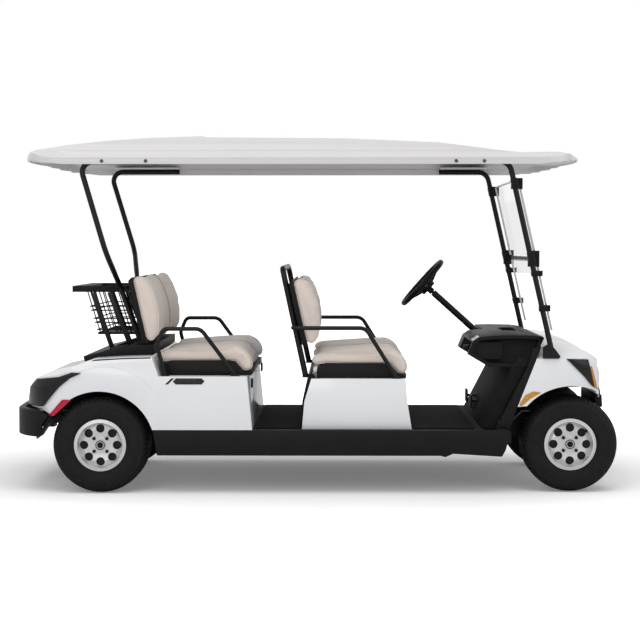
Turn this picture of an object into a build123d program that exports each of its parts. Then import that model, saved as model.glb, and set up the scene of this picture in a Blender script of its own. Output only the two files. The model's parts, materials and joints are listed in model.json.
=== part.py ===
from build123d import *
from math import cos, radians, sin, sqrt
import os

# Four-seat golf cart. X points forward, Y to the driver's left, Z up from the ground.
# The origin is on the ground under the middle of the cart. All sizes are in millimetres.

# ---- running gear ----
wheelbase = 2240.0
rear_overhang = 440.0
front_overhang = 232.0
front_track = 864.0
rear_track = 980.0
tyre_r = 228.6
tyre_w = 214.0
rim_r = 112.0
rim_w = 176.0
rim_lip_r = 124.0
hub_r = 38.0
wheel_bore_r = 30.0
spin_gap = 0.4
kingpin_y = 330.0
kingpin_r = 12.0
steer_arm = 110.0

# ---- body ----
body_w = 1200.0
side_step = 40.0
wall = 5.0
floor_z = 304.0
floor_t = 12.0
sill_bottom_z = 182.0
sill_t = 44.0
arch_r = 265.0
front_arch_r = 282.0
lining_t = 4.0
fit_gap = 0.3
seat_base_z = 545.0
rear_base_z = 558.0
deck_z = 700.0

# ---- seats ----
basket_w = 620.0
pad_gap = 16.0
frame_tube_r = 14.0
arm_tube_r = 10.0

# ---- roof and windshield ----
roof_w = 1200.0
roof_lip_z = 1560.0
roof_crown_z = 1712.0
roof_t = 6.0
strut_r = 13.0
shield_t = 5.0

# ---- steering ----
wheel_ring_r = 158.0
wheel_grip_r = 14.0
column_r = 17.0
column_y = 300.0

rear_axle_x = -(wheelbase + rear_overhang + front_overhang) / 2 + rear_overhang
front_axle_x = rear_axle_x + wheelbase
axle_z = tyre_r
rear_end_x = rear_axle_x - rear_overhang
nose_x = front_axle_x + front_overhang
cowl_w = body_w - 2 * side_step
seat_base_w = body_w - 2 * side_step
seat_w = seat_base_w - 60
pad_w = (seat_w - 60) / 2
arm_y = seat_base_w / 2 + 15
strut_y = cowl_w / 2
shield_w = 2 * (strut_y - 30)
roof_rear_x = rear_axle_x - 420
roof_front_x = front_axle_x + 88

os.makedirs("parts", exist_ok=True)


def moved(points, dx, dz):
    """The same XZ outline, shifted."""
    return [(x + dx, z + dz) for x, z in points]


def at_rear(points):
    """An XZ outline given from the rear axle's X, moved into place."""
    return moved(points, rear_axle_x, 0)


def at_front(points):
    """An XZ outline given from the front axle's X, moved into place."""
    return moved(points, front_axle_x, 0)


def write(builder, name):
    """Label a finished piece and write it as one STEP file."""
    builder.part.label = name
    export_step(builder.part, f"parts/{name}.step")


def bar(points, radius, bends):
    """Add a round bar along points whose corners are bent to the given radii."""
    with BuildLine() as path:
        FilletPolyline(*points, radius=bends)
    with BuildSketch(Plane(origin=path.line @ 0, z_dir=path.line % 0)) as section:
        Circle(radius)
    sweep(section.sketch, path=path.line)


def rod(start, end, radius):
    """Add a straight round rod between two points."""
    with BuildLine() as path:
        Line(start, end)
    with BuildSketch(Plane(origin=path.line @ 0, z_dir=path.line % 0)) as section:
        Circle(radius)
    sweep(section.sketch, path=path.line)


def profile(points, width, corner=0.0, centre_y=0.0, mode=Mode.ADD):
    """Add a plate or block with an XZ outline, width wide across the cart."""
    with BuildSketch(Plane.XZ.offset(-centre_y)) as outline:
        Polygon(*points, align=None)
        if corner > 0:
            fillet(outline.vertices(), corner)
    extrude(outline.sketch, amount=width / 2, both=True, mode=mode)


def block(x, y, z, size_x, size_y, size_z, mode=Mode.ADD):
    """Add a box by its centre and its sizes."""
    with Locations((x, y, z)):
        Box(size_x, size_y, size_z, mode=mode)


def crossbar(x, z, radius, half_length, y=0.0, mode=Mode.ADD):
    """Add a cylinder that lies across the cart."""
    with BuildSketch(Plane.XZ.offset(-y)) as end_face:
        with Locations((x, z)):
            Circle(radius)
    extrude(end_face.sketch, amount=half_length, both=True, mode=mode)


# =====================================================================
# Wheels
# =====================================================================
def tyre(name, x, y):
    """A tyre whose inner bead sits on the rim, with an open middle."""
    half = tyre_w / 2
    bead_y = rim_w / 2 - fit_gap
    with BuildPart() as piece:
        with BuildSketch(Plane.YZ.offset(x)):
            with BuildLine():
                Polyline(
                    (y - bead_y, axle_z + rim_r),
                    (y - bead_y, axle_z + rim_lip_r + 2),
                    (y - half + 6, axle_z + rim_lip_r + 6),
                    (y - half, axle_z + rim_r + 45),
                    (y - half + 2, axle_z + tyre_r - 40),
                    (y - half + 22, axle_z + tyre_r - 10),
                    (y - half + 50, axle_z + tyre_r),
                    (y + half - 50, axle_z + tyre_r),
                    (y + half - 22, axle_z + tyre_r - 10),
                    (y + half - 2, axle_z + tyre_r - 40),
                    (y + half, axle_z + rim_r + 45),
                    (y + half - 6, axle_z + rim_lip_r + 6),
                    (y + bead_y, axle_z + rim_lip_r + 2),
                    (y + bead_y, axle_z + rim_r),
                    close=True,
                )
            make_face()
        revolve(axis=Axis((x, y, axle_z), (0, 1, 0)))
    write(piece, name)


def rim(name, x, y, out):
    """A pressed wheel with eight round holes; out is +1 when its face points to +Y."""
    face_y = y + out * rim_w / 2
    hole_circle_r = 79.0
    hole_r = 20.5
    cap_r = 24.0
    with BuildPart() as piece:
        with BuildSketch(Plane.YZ.offset(x)):
            with BuildLine():
                Polyline(
                    (y - out * rim_w / 2, axle_z + rim_r),
                    (face_y, axle_z + rim_r),
                    (face_y, axle_z + rim_lip_r),
                    (face_y + out * 5, axle_z + rim_lip_r),
                    (face_y + out * 8, axle_z + rim_r - 4),
                    (face_y - out * 18, axle_z + rim_r - 12),
                    (face_y - out * 8, axle_z + hole_circle_r),
                    (face_y - out * 14, axle_z + 44),
                    (face_y - out * 14, axle_z + hub_r),
                    (face_y - out * 26, axle_z + hub_r),
                    (face_y - out * 26, axle_z + 50),
                    (face_y - out * 16, axle_z + hole_circle_r),
                    (face_y - out * 26, axle_z + rim_r - 8),
                    (y - out * rim_w / 2, axle_z + rim_r - 8),
                    close=True,
                )
            make_face()
        revolve(axis=Axis((x, y, axle_z), (0, 1, 0)))
        with BuildSketch(Plane.XZ.offset(-face_y)):
            with Locations((x, axle_z)):
                with PolarLocations(hole_circle_r, 8):
                    Circle(hole_r)
        extrude(amount=40, both=True, mode=Mode.SUBTRACT)
        hub_length = 52.0
        crossbar(x, axle_z, hub_r, hub_length / 2, face_y - out * (14 + hub_length / 2))
        bore_y = face_y - out * (26 + hub_length / 2)
        crossbar(x, axle_z, wheel_bore_r, hub_length / 2, bore_y, mode=Mode.SUBTRACT)
        crossbar(x, axle_z, cap_r, 6, face_y - out * 8)
    write(piece, name)


for side, out in (("right", -1), ("left", 1)):
    tyre(f"tyre_front_{side}", front_axle_x, out * front_track / 2)
    rim(f"rim_front_{side}", front_axle_x, out * front_track / 2, out)
    tyre(f"tyre_rear_{side}", rear_axle_x, out * rear_track / 2)
    rim(f"rim_rear_{side}", rear_axle_x, out * rear_track / 2, out)

# =====================================================================
# Knuckles, axles and steering linkage
# =====================================================================
stub_r = wheel_bore_r - spin_gap
hub_back = 14 + 52.0
front_hub_y = front_track / 2 + rim_w / 2 - hub_back
rear_hub_y = rear_track / 2 + rim_w / 2 - hub_back
stub_tip = 36.0
beam_half_h = 26.0
knuckle_h = 34.0
beam_gap = 0.4
arm_end_y = kingpin_y - 30

for side, out in (("right", -1), ("left", 1)):
    with BuildPart() as knuckle:
        # upright that straddles the beam eye, with the stub axle outboard
        for level in (-1, 1):
            z = axle_z + level * (beam_half_h + beam_gap + knuckle_h / 2)
            block(front_axle_x, out * (kingpin_y + 14), z, 56, 84, knuckle_h)
        web_y = kingpin_y + 34 + 11
        block(front_axle_x, out * web_y, axle_z, 56, 22, 2 * (beam_half_h + beam_gap + knuckle_h))
        stub_length = front_hub_y + stub_tip - web_y
        crossbar(front_axle_x, axle_z, stub_r, stub_length / 2, out * (web_y + stub_length / 2))
        with Locations((front_axle_x, out * kingpin_y, axle_z)):
            Cylinder(kingpin_r - spin_gap / 2, 2 * (beam_half_h + knuckle_h))
        arm_z = axle_z + beam_half_h + beam_gap + knuckle_h / 2
        block(front_axle_x - steer_arm / 2, out * arm_end_y, arm_z, steer_arm, 30, 14)
        with Locations((front_axle_x - steer_arm, out * arm_end_y, arm_z)):
            Cylinder(15, 14)
            Cylinder(9, 14, mode=Mode.SUBTRACT)
    write(knuckle, f"knuckle_{side}")

with BuildPart() as front_axle_beam:
    block(front_axle_x, 0, axle_z, 50, 2 * (kingpin_y - 20), 2 * beam_half_h)
    for out in (-1, 1):
        with Locations((front_axle_x, out * kingpin_y, axle_z)):
            Cylinder(25, 2 * beam_half_h)
            Cylinder(kingpin_r + spin_gap / 2, 2 * beam_half_h, mode=Mode.SUBTRACT)
write(front_axle_beam, "front_axle_beam")

tie_gap = 0.5
tie_boss_h = 18.0
with BuildPart() as tie_rod:
    tie_z = arm_z - 7 - tie_gap - tie_boss_h / 2
    tie_x = front_axle_x - steer_arm
    crossbar(tie_x, tie_z, 8, arm_end_y)
    for out in (-1, 1):
        with Locations((tie_x, out * arm_end_y, tie_z)):
            Cylinder(13, tie_boss_h)
write(tie_rod, "tie_rod")

with BuildPart() as rear_axle:
    rear_tube_r = 36.0
    crossbar(rear_axle_x, axle_z, rear_tube_r, rear_hub_y - 60)
    for out in (-1, 1):
        stub = stub_tip + 60
        crossbar(rear_axle_x, axle_z, stub_r, stub / 2, out * (rear_hub_y - 60 + stub / 2))
    with Locations((rear_axle_x, 0, axle_z)):
        Cylinder(105, 190, rotation=(90, 0, 0))
write(rear_axle, "rear_axle")

# =====================================================================
# Chassis, drive unit and floor
# =====================================================================
rail_y = 170.0
rail_w = 50.0
rail_h = 60.0
rail_top = floor_z - floor_t
kick_rear_x = rear_axle_x + 245
kick_front_x = front_axle_x - 250
bumper_t = 28.0
rail_rear_x = rear_end_x + bumper_t + 10
rail_front_x = nose_x - 70
rail_rise = 60.0
sill_inner_y = body_w / 2 - sill_t

with BuildPart() as chassis_frame:
    for out in (-1, 1):
        profile(
            [
                (rail_rear_x, rail_top + rail_rise),
                (kick_rear_x - rail_rise, rail_top + rail_rise),
                (kick_rear_x, rail_top),
                (kick_front_x, rail_top),
                (kick_front_x + rail_rise, rail_top + rail_rise),
                (rail_front_x, rail_top + rail_rise),
                (rail_front_x, rail_top + rail_rise - rail_h),
                (kick_front_x + rail_rise + 20, rail_top + rail_rise - rail_h),
                (kick_front_x + 20, rail_top - rail_h),
                (kick_rear_x - 20, rail_top - rail_h),
                (kick_rear_x - rail_rise - 20, rail_top + rail_rise - rail_h),
                (rail_rear_x, rail_top + rail_rise - rail_h),
            ],
            rail_w,
            centre_y=out * rail_y,
        )
    for x in (kick_rear_x + 60, -90.0, 430.0, kick_front_x - 60):
        block(x, 0, rail_top - rail_h / 2, 50, 2 * sill_inner_y - 2 * fit_gap, rail_h - 12)
    for x in (rail_rear_x + 25, rail_front_x - 25):
        block(x, 0, rail_top + rail_rise - rail_h / 2, 50, 2 * rail_y, rail_h - 12)
    beam_top = axle_z + beam_half_h
    post_h = rail_top + rail_rise - rail_h + 2 - beam_top
    for out in (-1, 1):
        block(front_axle_x, out * rail_y, beam_top + post_h / 2, 44, 40, post_h)
write(chassis_frame, "chassis_frame")

# leaf spring and damper at each rear wheel, between the axle and the rails
with BuildPart() as rear_springs:
    for out in (-1, 1):
        spring_z = axle_z + 36 + 8
        block(rear_axle_x, out * (rail_y + rail_w / 2 + 34), spring_z, 520, 50, 16)
        for end in (-1, 1):
            x = rear_axle_x + end * 235
            block(x, out * (rail_y + rail_w / 2 + 34), spring_z + 30, 30, 50, 60)
            block(x, out * (rail_y + rail_w / 2 + 17), spring_z + 50, 30, 34, 30)
write(rear_springs, "rear_springs")

engine_x = rear_axle_x + 496
engine_l = 330.0
with BuildPart() as engine_block:
    block(engine_x, 0, rail_top + 4 + 105, engine_l, 2 * rail_y - rail_w - 12, 210)
    for out in (-1, 1):
        block(engine_x + 110, out * (rail_y - 10), rail_top + 6, 40, 60, 12)
    case_front = engine_x - engine_l / 2 + 1
    case_rear = rear_axle_x + 105 + 10
    block((case_front + case_rear) / 2, 0, axle_z + 130, case_front - case_rear, 110, 130)
write(engine_block, "engine_block")

rear_body_front_x = rear_axle_x + 724
floor_rear_x = rear_body_front_x
floor_front_x = front_axle_x - 418
with BuildPart() as floor_pan:
    floor_l = floor_front_x - floor_rear_x
    floor_w = 2 * (sill_inner_y - fit_gap)
    block((floor_rear_x + floor_front_x) / 2, 0, floor_z - floor_t / 2, floor_l, floor_w, floor_t)
write(floor_pan, "floor_pan")

# black side sills under the floor edge; their ends follow the wheel arches
sill_front_x = front_axle_x - 332
sill_rear_x = rear_axle_x + arch_r
with BuildPart() as side_sills:
    for out in (-1, 1):
        profile(
            [
                (sill_rear_x - 14, floor_z),
                (sill_rear_x + 6, sill_bottom_z),
                (sill_front_x - 292, sill_bottom_z),
                (sill_front_x - 268, sill_bottom_z - 6),
                (sill_front_x - 232, sill_bottom_z + 10),
                (sill_front_x, sill_bottom_z - 4),
                (sill_front_x + 18, sill_bottom_z + 30),
                (sill_front_x + 41, floor_z),
            ],
            sill_t,
            centre_y=out * (body_w / 2 - sill_t / 2),
        )
write(side_sills, "side_sills")

mat_t = 6.0
mat_edge = 50.0
front_base_rear_x = -57.0
front_base_front_x = 466.0
with BuildPart() as floor_mats:
    for x_rear, x_front in (
        (rear_body_front_x + 14, front_base_rear_x - 14),
        (front_base_front_x + 10, floor_front_x - 40),
    ):
        block(
            (x_rear + x_front) / 2,
            0,
            floor_z + mat_t / 2,
            x_front - x_rear,
            body_w - 2 * mat_edge,
            mat_t,
        )
write(floor_mats, "floor_mats")

# seat lid hinges: a row of barrels on the front edge of each lid
lid_front_x = 440.0
hinge_r = 5.0
hinge_x = lid_front_x + hinge_r + 1
hinge_lift = 2.3
hinge_y = 300.0
hinge_l = 60.0
row_dx = rear_axle_x + 278


def hinge_barrel(x, z, length, y):
    """One barrel of a seat hinge, with a fixed middle length and place across the cart."""
    crossbar(x, z, hinge_r, length / 2, y)


def hinge_ears(edge_x, top_z, dx):
    """Barrels and tabs on a seat base, either side of the lid's barrel."""
    for out in (-1, 1):
        for end in (-1, 1):
            y = out * hinge_y + end * (hinge_l / 2 + 1 + hinge_l / 4)
            hinge_barrel(hinge_x + dx, top_z + hinge_lift, hinge_l / 2, y)
            tab_l = hinge_x + dx - edge_x + 4
            block(hinge_x + dx - tab_l / 2, y, top_z - 3, tab_l, hinge_l / 2, 5)


# =====================================================================
# Rear body
# =====================================================================
rear_side = at_rear(
    [
        (724.0, floor_z + fit_gap),
        (700.0, rear_base_z),
        (281.0, rear_base_z),
        (248.0, 654.0),
        (106.0, 650.0),
        (-23.0, 642.0),
        (-96.0, 615.0),
        (-190.0, 566.0),
        (-314.0, 545.0),
        (-356.0, 500.0),
        (-376.0, 408.0),
        (-284.0, 400.0),
        (-218.0, 366.0),
        (-84.0, floor_z + fit_gap),
    ]
)
rear_tail_x = rear_end_x + 58
rear_round_x = rear_axle_x - 114
front_round_x = front_axle_x - 34


def rear_plan(half, tail, front_x):
    """Plan outline of the rear end: straight sides, round corners, bowed tail."""
    with BuildLine() as plan:
        Polyline((front_x, half), (rear_round_x, half))
        ThreePointArc((rear_round_x, half), (tail + 92, half - 68), (tail + 16, half - 210))
        ThreePointArc((tail + 16, half - 210), (tail, 0), (tail + 16, -half + 210))
        ThreePointArc((tail + 16, -half + 210), (tail + 92, -half + 68), (rear_round_x, -half))
        Polyline((rear_round_x, -half), (front_x, -half), (front_x, half))
    make_face(plan.edges())


def front_plan(half, nose, rear_x):
    """Plan outline of the front end: straight sides, round corners, bowed nose."""
    with BuildLine() as plan:
        Polyline((rear_x, half), (front_round_x, half))
        ThreePointArc((front_round_x, half), (nose - 100, half - 80), (nose - 34, half - 230))
        ThreePointArc((nose - 34, half - 230), (nose, 0), (nose - 34, -half + 230))
        ThreePointArc((nose - 34, -half + 230), (nose - 100, -half + 80), (front_round_x, -half))
        Polyline((front_round_x, -half), (rear_x, -half), (rear_x, half))
    make_face(plan.edges())


def arch_cut(x, z, radius, reach, depth, mode=Mode.SUBTRACT):
    """Cut both wheel openings as cylinders that run inward from the sides."""
    for out in (-1, 1):
        crossbar(x, z, radius, depth / 2, out * (reach - depth / 2), mode=mode)


arch_z = 222.0
flange_in = 45.0
liner_y = body_w / 2 - flange_in - fit_gap
liner_w = 245.0
with BuildPart() as rear_body:
    profile(rear_side, body_w)
    with BuildSketch(Plane.XY):
        rear_plan(body_w / 2, rear_tail_x, rear_body_front_x)
    extrude(amount=900, mode=Mode.INTERSECT)
    rounded = rear_body.edges().filter_by(lambda e: e.center().Z > 640 and abs(e.center().Y) > body_w / 2 - 3)
    fillet(rounded, 26)
    # hollow inside, open below
    inner = at_rear(
        [
            (724.0 - wall, floor_z - 40),
            (700.0 - wall, rear_base_z - wall),
            (281.0 - wall, rear_base_z - wall),
            (248.0 - wall, 654.0 - wall),
            (106.0, 650.0 - wall),
            (-23.0, 642.0 - wall),
            (-94.0, 615.0 - wall),
            (-190.0, 566.0 - wall),
            (-311.0, 545.0 - wall),
            (-351.0, 500.0 - wall),
            (-370.0, 300.0),
        ]
    )
    with BuildPart(mode=Mode.PRIVATE) as hollow:
        profile(inner, body_w)
        with BuildSketch(Plane.XY):
            rear_plan(body_w / 2 - wall, rear_tail_x + wall, rear_body_front_x - wall)
        extrude(amount=900, mode=Mode.INTERSECT)
        arch_cut(rear_axle_x - 2, arch_z, arch_r + lining_t + 8, body_w / 2 + 1, flange_in + 1)
    add(hollow.part, mode=Mode.SUBTRACT)
    arch_cut(rear_axle_x - 2, arch_z, arch_r, body_w / 2 + 10, 60)
    # engine access under the seat
    block(rear_axle_x + 516, 0, rear_base_z, 300, 700, 4 * wall, mode=Mode.SUBTRACT)
    hinge_ears(rear_body_front_x - 24, rear_base_z, row_dx)
write(rear_body, "rear_body")

def skin(points, plan, outer, inner, middle=0.0):
    """Thin plate on a curved body: the band between two plan outlines, cut by an XZ outline."""
    band_h = 900.0
    with BuildSketch(Plane.XY) as outer_face:
        plan(*outer)
    extrude(outer_face.sketch, amount=band_h)
    with BuildSketch(Plane.XY) as inner_face:
        plan(*inner)
    extrude(inner_face.sketch, amount=band_h, mode=Mode.SUBTRACT)
    profile(points, 2 * body_w, mode=Mode.INTERSECT)
    if middle > 0:
        block(0, 0, band_h / 2, 4000, 2 * middle, band_h + 2, mode=Mode.SUBTRACT)


def rear_size(lift):
    """Arguments of rear_plan for a skin that stands off the rear body by lift."""
    return body_w / 2 + lift, rear_tail_x - lift, rear_axle_x + 416


def front_size(lift):
    """Arguments of front_plan for a skin that stands off the cowl by lift."""
    return cowl_w / 2 + lift, nose_x - 6 + lift, front_axle_x - 324


with BuildPart() as tail_lamps:
    skin(
        at_rear(
            [
                (-190.0, 556.0),
                (-129.0, 578.0),
                (-84.0, 574.0),
                (-137.0, 550.0),
                (-190.0, 508.0),
                (-230.0, 463.0),
                (-274.0, 412.0),
                (-372.0, 412.0),
                (-352.0, 500.0),
                (-308.0, 541.0),
            ]
        ),
        rear_plan,
        rear_size(8),
        rear_size(fit_gap),
        middle=body_w / 2 - 230,
    )
write(tail_lamps, "tail_lamps")

with BuildPart() as rear_reflectors:
    skin(
        at_rear([(-246.0, 371.0), (-216.0, 371.0), (-133.0, 447.0), (-177.0, 447.0)]),
        rear_plan,
        rear_size(3.3),
        rear_size(fit_gap),
    )
write(rear_reflectors, "rear_reflectors")

bumper_top_z = 396.0
bumper_bottom_z = 266.0
with BuildPart() as rear_bumper:
    with BuildSketch(Plane.XY.offset(bumper_bottom_z)):
        rear_plan(body_w / 2 - 6, rear_end_x, rear_axle_x + 16)
    extrude(amount=bumper_top_z - bumper_bottom_z)
    with BuildSketch(Plane.XY.offset(bumper_bottom_z)):
        rear_plan(body_w / 2 - 6 - bumper_t, rear_end_x + bumper_t, rear_axle_x + 116)
    extrude(amount=bumper_top_z - bumper_bottom_z, mode=Mode.SUBTRACT)
    profile(
        at_rear(
            [
                (-484.0, bumper_bottom_z),
                (-484.0, bumper_top_z),
                (-302.0, bumper_top_z),
                (-246.0, 366.0),
                (-274.0, 330.0),
                (-294.0, bumper_bottom_z),
            ]
        ),
        2 * body_w,
        mode=Mode.INTERSECT,
    )
write(rear_bumper, "rear_bumper")

hitch_pin_r = 9.5
hitch_t = 12.0
with BuildPart() as tow_hitch:
    hitch_z = bumper_bottom_z - hitch_t / 2
    block(rear_end_x + 62, 0, hitch_z, 130, 70, hitch_t)
    block(rear_end_x + 112, 0, hitch_z + 22, 30, 70, 44)
    with Locations((rear_end_x + 24, 0, hitch_z)):
        Cylinder(hitch_pin_r, hitch_t, mode=Mode.SUBTRACT)
    block(rear_end_x + 112, 0, hitch_z + 32, 30, 2 * rail_y - rail_w - 2 * fit_gap, 22)
write(tow_hitch, "tow_hitch")

# =====================================================================
# Rear deck and basket
# =====================================================================
deck_bottom = 655.0
deck_w = body_w - 220
with BuildPart() as rear_deck:
    profile(
        at_rear(
            [
                (-92.0, 646.0),
                (-23.0, 662.0),
                (25.0, 676.0),
                (66.0, 688.0),
                (155.0, deck_z),
                (250.0, deck_z + 2),
                (250.0, 660.0),
                (244.0, deck_bottom),
                (106.0, 650.0 + fit_gap),
                (-23.0, 642.0 + fit_gap),
                (-84.0, 621.0),
            ]
        ),
        deck_w,
    )
    for out in (-1, 1):
        block(rear_axle_x + 86, out * 150, deck_z, 150, 280, 60, mode=Mode.SUBTRACT)
write(rear_deck, "rear_deck")

basket_wall = 5.0
basket_floor_z = 742.0
basket_rim_z = 958.0
basket_front = (rear_axle_x + 82, rear_axle_x + 148)
basket_back = (rear_axle_x - 112, rear_axle_x - 46)
with BuildPart() as basket:
    profile(
        [
            (basket_back[1], basket_floor_z),
            (basket_front[1], basket_floor_z),
            (basket_front[0], basket_rim_z),
            (basket_back[0], basket_rim_z),
        ],
        basket_w,
    )
    profile(
        [
            (basket_back[1] + basket_wall, basket_floor_z + basket_wall),
            (basket_front[1] - basket_wall, basket_floor_z + basket_wall),
            (basket_front[0] - basket_wall, basket_rim_z + 1),
            (basket_back[0] + basket_wall, basket_rim_z + 1),
        ],
        basket_w - 2 * basket_wall,
        mode=Mode.SUBTRACT,
    )
    # window rows that leave the wires of the side walls
    lean = (basket_back[1] - basket_back[0]) / (basket_rim_z - basket_floor_z)
    for row_z, row_h in ((778.0, 32.0), (826.0, 36.0), (884.0, 50.0), (934.0, 24.0)):
        for step in range(4):
            low = row_z - row_h / 2
            high = row_z + row_h / 2
            x_low = basket_back[1] - lean * (low - basket_floor_z) + 12 + step * 46
            x_high = basket_back[1] - lean * (high - basket_floor_z) + 12 + step * 46
            profile(
                [(x_low, low), (x_low + 36, low), (x_high + 36, high), (x_high, high)],
                basket_w + 10,
                mode=Mode.SUBTRACT,
            )
    # rim with its carrying lip at the back
    rim_low = basket_rim_z - 8
    with BuildSketch(Plane.XY.offset(rim_low)):
        with Locations(((basket_back[0] - 58 + basket_front[0]) / 2, 0)):
            Rectangle(basket_front[0] - basket_back[0] + 58, basket_w + 16)
        with Locations(((basket_back[0] + basket_front[0]) / 2, 0)):
            inner_l = basket_front[0] - basket_back[0] - 2 * basket_wall
            Rectangle(inner_l, basket_w - 2 * basket_wall, mode=Mode.SUBTRACT)
    extrude(amount=30)
write(basket, "basket")

# =====================================================================
# Rear roof supports, with the basket's posts
# =====================================================================
strut_top_z = roof_lip_z + strut_r + 2
rear_strut_foot_y = basket_w / 2 + strut_r + 15
rear_strut_top_y = roof_w / 2 - 72
rear_foot_x = rear_axle_x + 166
rear_knee_x = rear_axle_x + 68
rear_knee_z = 975.0
with BuildPart() as rear_struts:
    for out in (-1, 1):
        bar(
            [
                (rear_axle_x + 276, out * (rear_strut_top_y - 8), strut_top_z),
                (rear_axle_x - 100, out * rear_strut_top_y, strut_top_z),
                (rear_axle_x + 26, out * (rear_strut_top_y + 17), 1150.0),
                (rear_knee_x, out * rear_strut_foot_y, rear_knee_z),
                (rear_foot_x, out * rear_strut_foot_y, deck_z + 8),
            ],
            strut_r,
            (50, 110, 60),
        )
        block(rear_foot_x, out * rear_strut_foot_y, deck_z + 6.3, 60, 46, 10)
write(rear_struts, "rear_struts")

post_r = 8.0
post_y = basket_w / 2 + post_r + 2
with BuildPart() as basket_posts:
    for out in (-1, 1):
        for top_dx, foot_dx, foot_z in ((-70.0, 24.0, 676.9), (12.0, 111.0, 696.4)):
            top = (rear_axle_x + top_dx, out * post_y, rim_low - 3)
            foot = (rear_axle_x + foot_dx, out * post_y, foot_z)
            rod(top, foot, post_r)
write(basket_posts, "basket_posts")

# =====================================================================
# Roof
# =====================================================================
roof_top = [
    (roof_rear_x, roof_lip_z + 27),
    (roof_rear_x + 60, roof_lip_z + 62),
    (roof_rear_x + 128, roof_lip_z + 88),
    (roof_rear_x + 260, roof_lip_z + 98),
    (roof_rear_x + 436, roof_lip_z + 122),
    (roof_rear_x + 612, roof_lip_z + 138),
    (roof_rear_x + 890, roof_crown_z),
    (roof_rear_x + 910, roof_crown_z - 8),
    (roof_front_x - 1148, roof_crown_z - 16),
    (roof_front_x - 713, roof_crown_z - 40),
    (roof_front_x - 463, roof_lip_z + 73),
    (roof_front_x - 338, roof_lip_z + 57),
    (roof_front_x - 150, roof_lip_z + 62),
    (roof_front_x - 60, roof_lip_z + 38),
    (roof_front_x, roof_lip_z + 22),
]


def roof_solid(margin, drop, bottom_z):
    """Roof form drawn in by margin and lowered by drop."""
    ends = [(roof_front_x - margin, bottom_z), (roof_rear_x + margin, bottom_z)]
    top = [(min(max(x, ends[1][0]), ends[0][0]), z - drop) for x, z in roof_top]
    profile(top + ends, 2 * roof_w)
    half = roof_w / 2 - margin
    edge_z = roof_lip_z + 34 - drop
    with BuildSketch(Plane.YZ) as front_view:
        with BuildLine() as arch:
            Polyline((-half, edge_z), (-half, bottom_z), (half, bottom_z), (half, edge_z))
            ThreePointArc((half, edge_z), (0, roof_crown_z + 34 - drop), (-half, edge_z))
        make_face(arch.edges())
    extrude(front_view.sketch, amount=wheelbase, both=True, mode=Mode.INTERSECT)
    mid_x = (roof_front_x + roof_rear_x) / 2
    length = roof_front_x - roof_rear_x - 2 * margin
    bow = 84.0
    with BuildSketch(Plane.XY) as plan_view:
        with BuildLine() as outline:
            x_front = mid_x + length / 2
            x_rear = mid_x - length / 2
            corner = 110.0
            Polyline((x_rear + bow + corner, half), (x_front - bow - corner, half))
            ThreePointArc(
                (x_front - bow - corner, half),
                (x_front - bow - 0.29 * corner, half - 0.29 * corner),
                (x_front - bow, half - corner),
            )
            ThreePointArc((x_front - bow, half - corner), (x_front, 0), (x_front - bow, -half + corner))
            ThreePointArc(
                (x_front - bow, -half + corner),
                (x_front - bow - 0.29 * corner, -half + 0.29 * corner),
                (x_front - bow - corner, -half),
            )
            Polyline((x_front - bow - corner, -half), (x_rear + bow + corner, -half))
            ThreePointArc(
                (x_rear + bow + corner, -half),
                (x_rear + bow + 0.29 * corner, -half + 0.29 * corner),
                (x_rear + bow, -half + corner),
            )
            ThreePointArc((x_rear + bow, -half + corner), (x_rear, 0), (x_rear + bow, half - corner))
            ThreePointArc(
                (x_rear + bow, half - corner),
                (x_rear + bow + 0.29 * corner, half - 0.29 * corner),
                (x_rear + bow + corner, half),
            )
        make_face(outline.edges())
    extrude(plan_view.sketch, amount=2 * roof_crown_z, mode=Mode.INTERSECT)


with BuildPart() as roof_hollow:
    roof_solid(roof_t, roof_t, roof_lip_z - 20)
with BuildPart() as roof:
    roof_solid(0, 0, roof_lip_z)
    add(roof_hollow.part, mode=Mode.SUBTRACT)
    # flanges that sit on the supports
    flange_w = 120.0
    flange_t = 8.0
    for out in (-1, 1):
        for x_rear, x_front in (
            (rear_axle_x - 74, rear_axle_x + 271),
            (front_axle_x - 556, front_axle_x - 304),
        ):
            flange_y = roof_w / 2 - roof_t / 2 - flange_w / 2
            flange_z = strut_top_z + strut_r + fit_gap + flange_t / 2
            block((x_rear + x_front) / 2, out * flange_y, flange_z, x_front - x_rear, flange_w, flange_t)
write(roof, "roof")

# =====================================================================
# Seats: two like rows, the rear one set back and a little higher
# =====================================================================
row_dz = rear_base_z - seat_base_z
pad_dx = row_dx - 30
tray_half = seat_w / 2 - 5

with BuildPart() as front_seat_base:
    base_side = [
        (front_base_front_x, floor_z + fit_gap),
        (front_base_front_x - 20, 425.0),
        (front_base_front_x - 30, seat_base_z),
        (front_base_rear_x + 45, seat_base_z),
        (front_base_rear_x + 12, 438.0),
        (front_base_rear_x, floor_z + fit_gap),
    ]
    profile(base_side, seat_base_w)
    profile(
        [
            (front_base_front_x - wall, floor_z - 20),
            (front_base_front_x - 20 - wall, 425.0),
            (front_base_front_x - 30 - wall, seat_base_z - wall),
            (front_base_rear_x + 45 + wall, seat_base_z - wall),
            (front_base_rear_x + 12 + wall, 438.0),
            (front_base_rear_x + wall, floor_z - 20),
        ],
        seat_base_w - 2 * wall,
        mode=Mode.SUBTRACT,
    )
    block(200, 0, seat_base_z, 280, 800, 4 * wall, mode=Mode.SUBTRACT)
    hinge_ears(front_base_front_x - 30, seat_base_z, 0)
write(front_seat_base, "front_seat_base")

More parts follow.
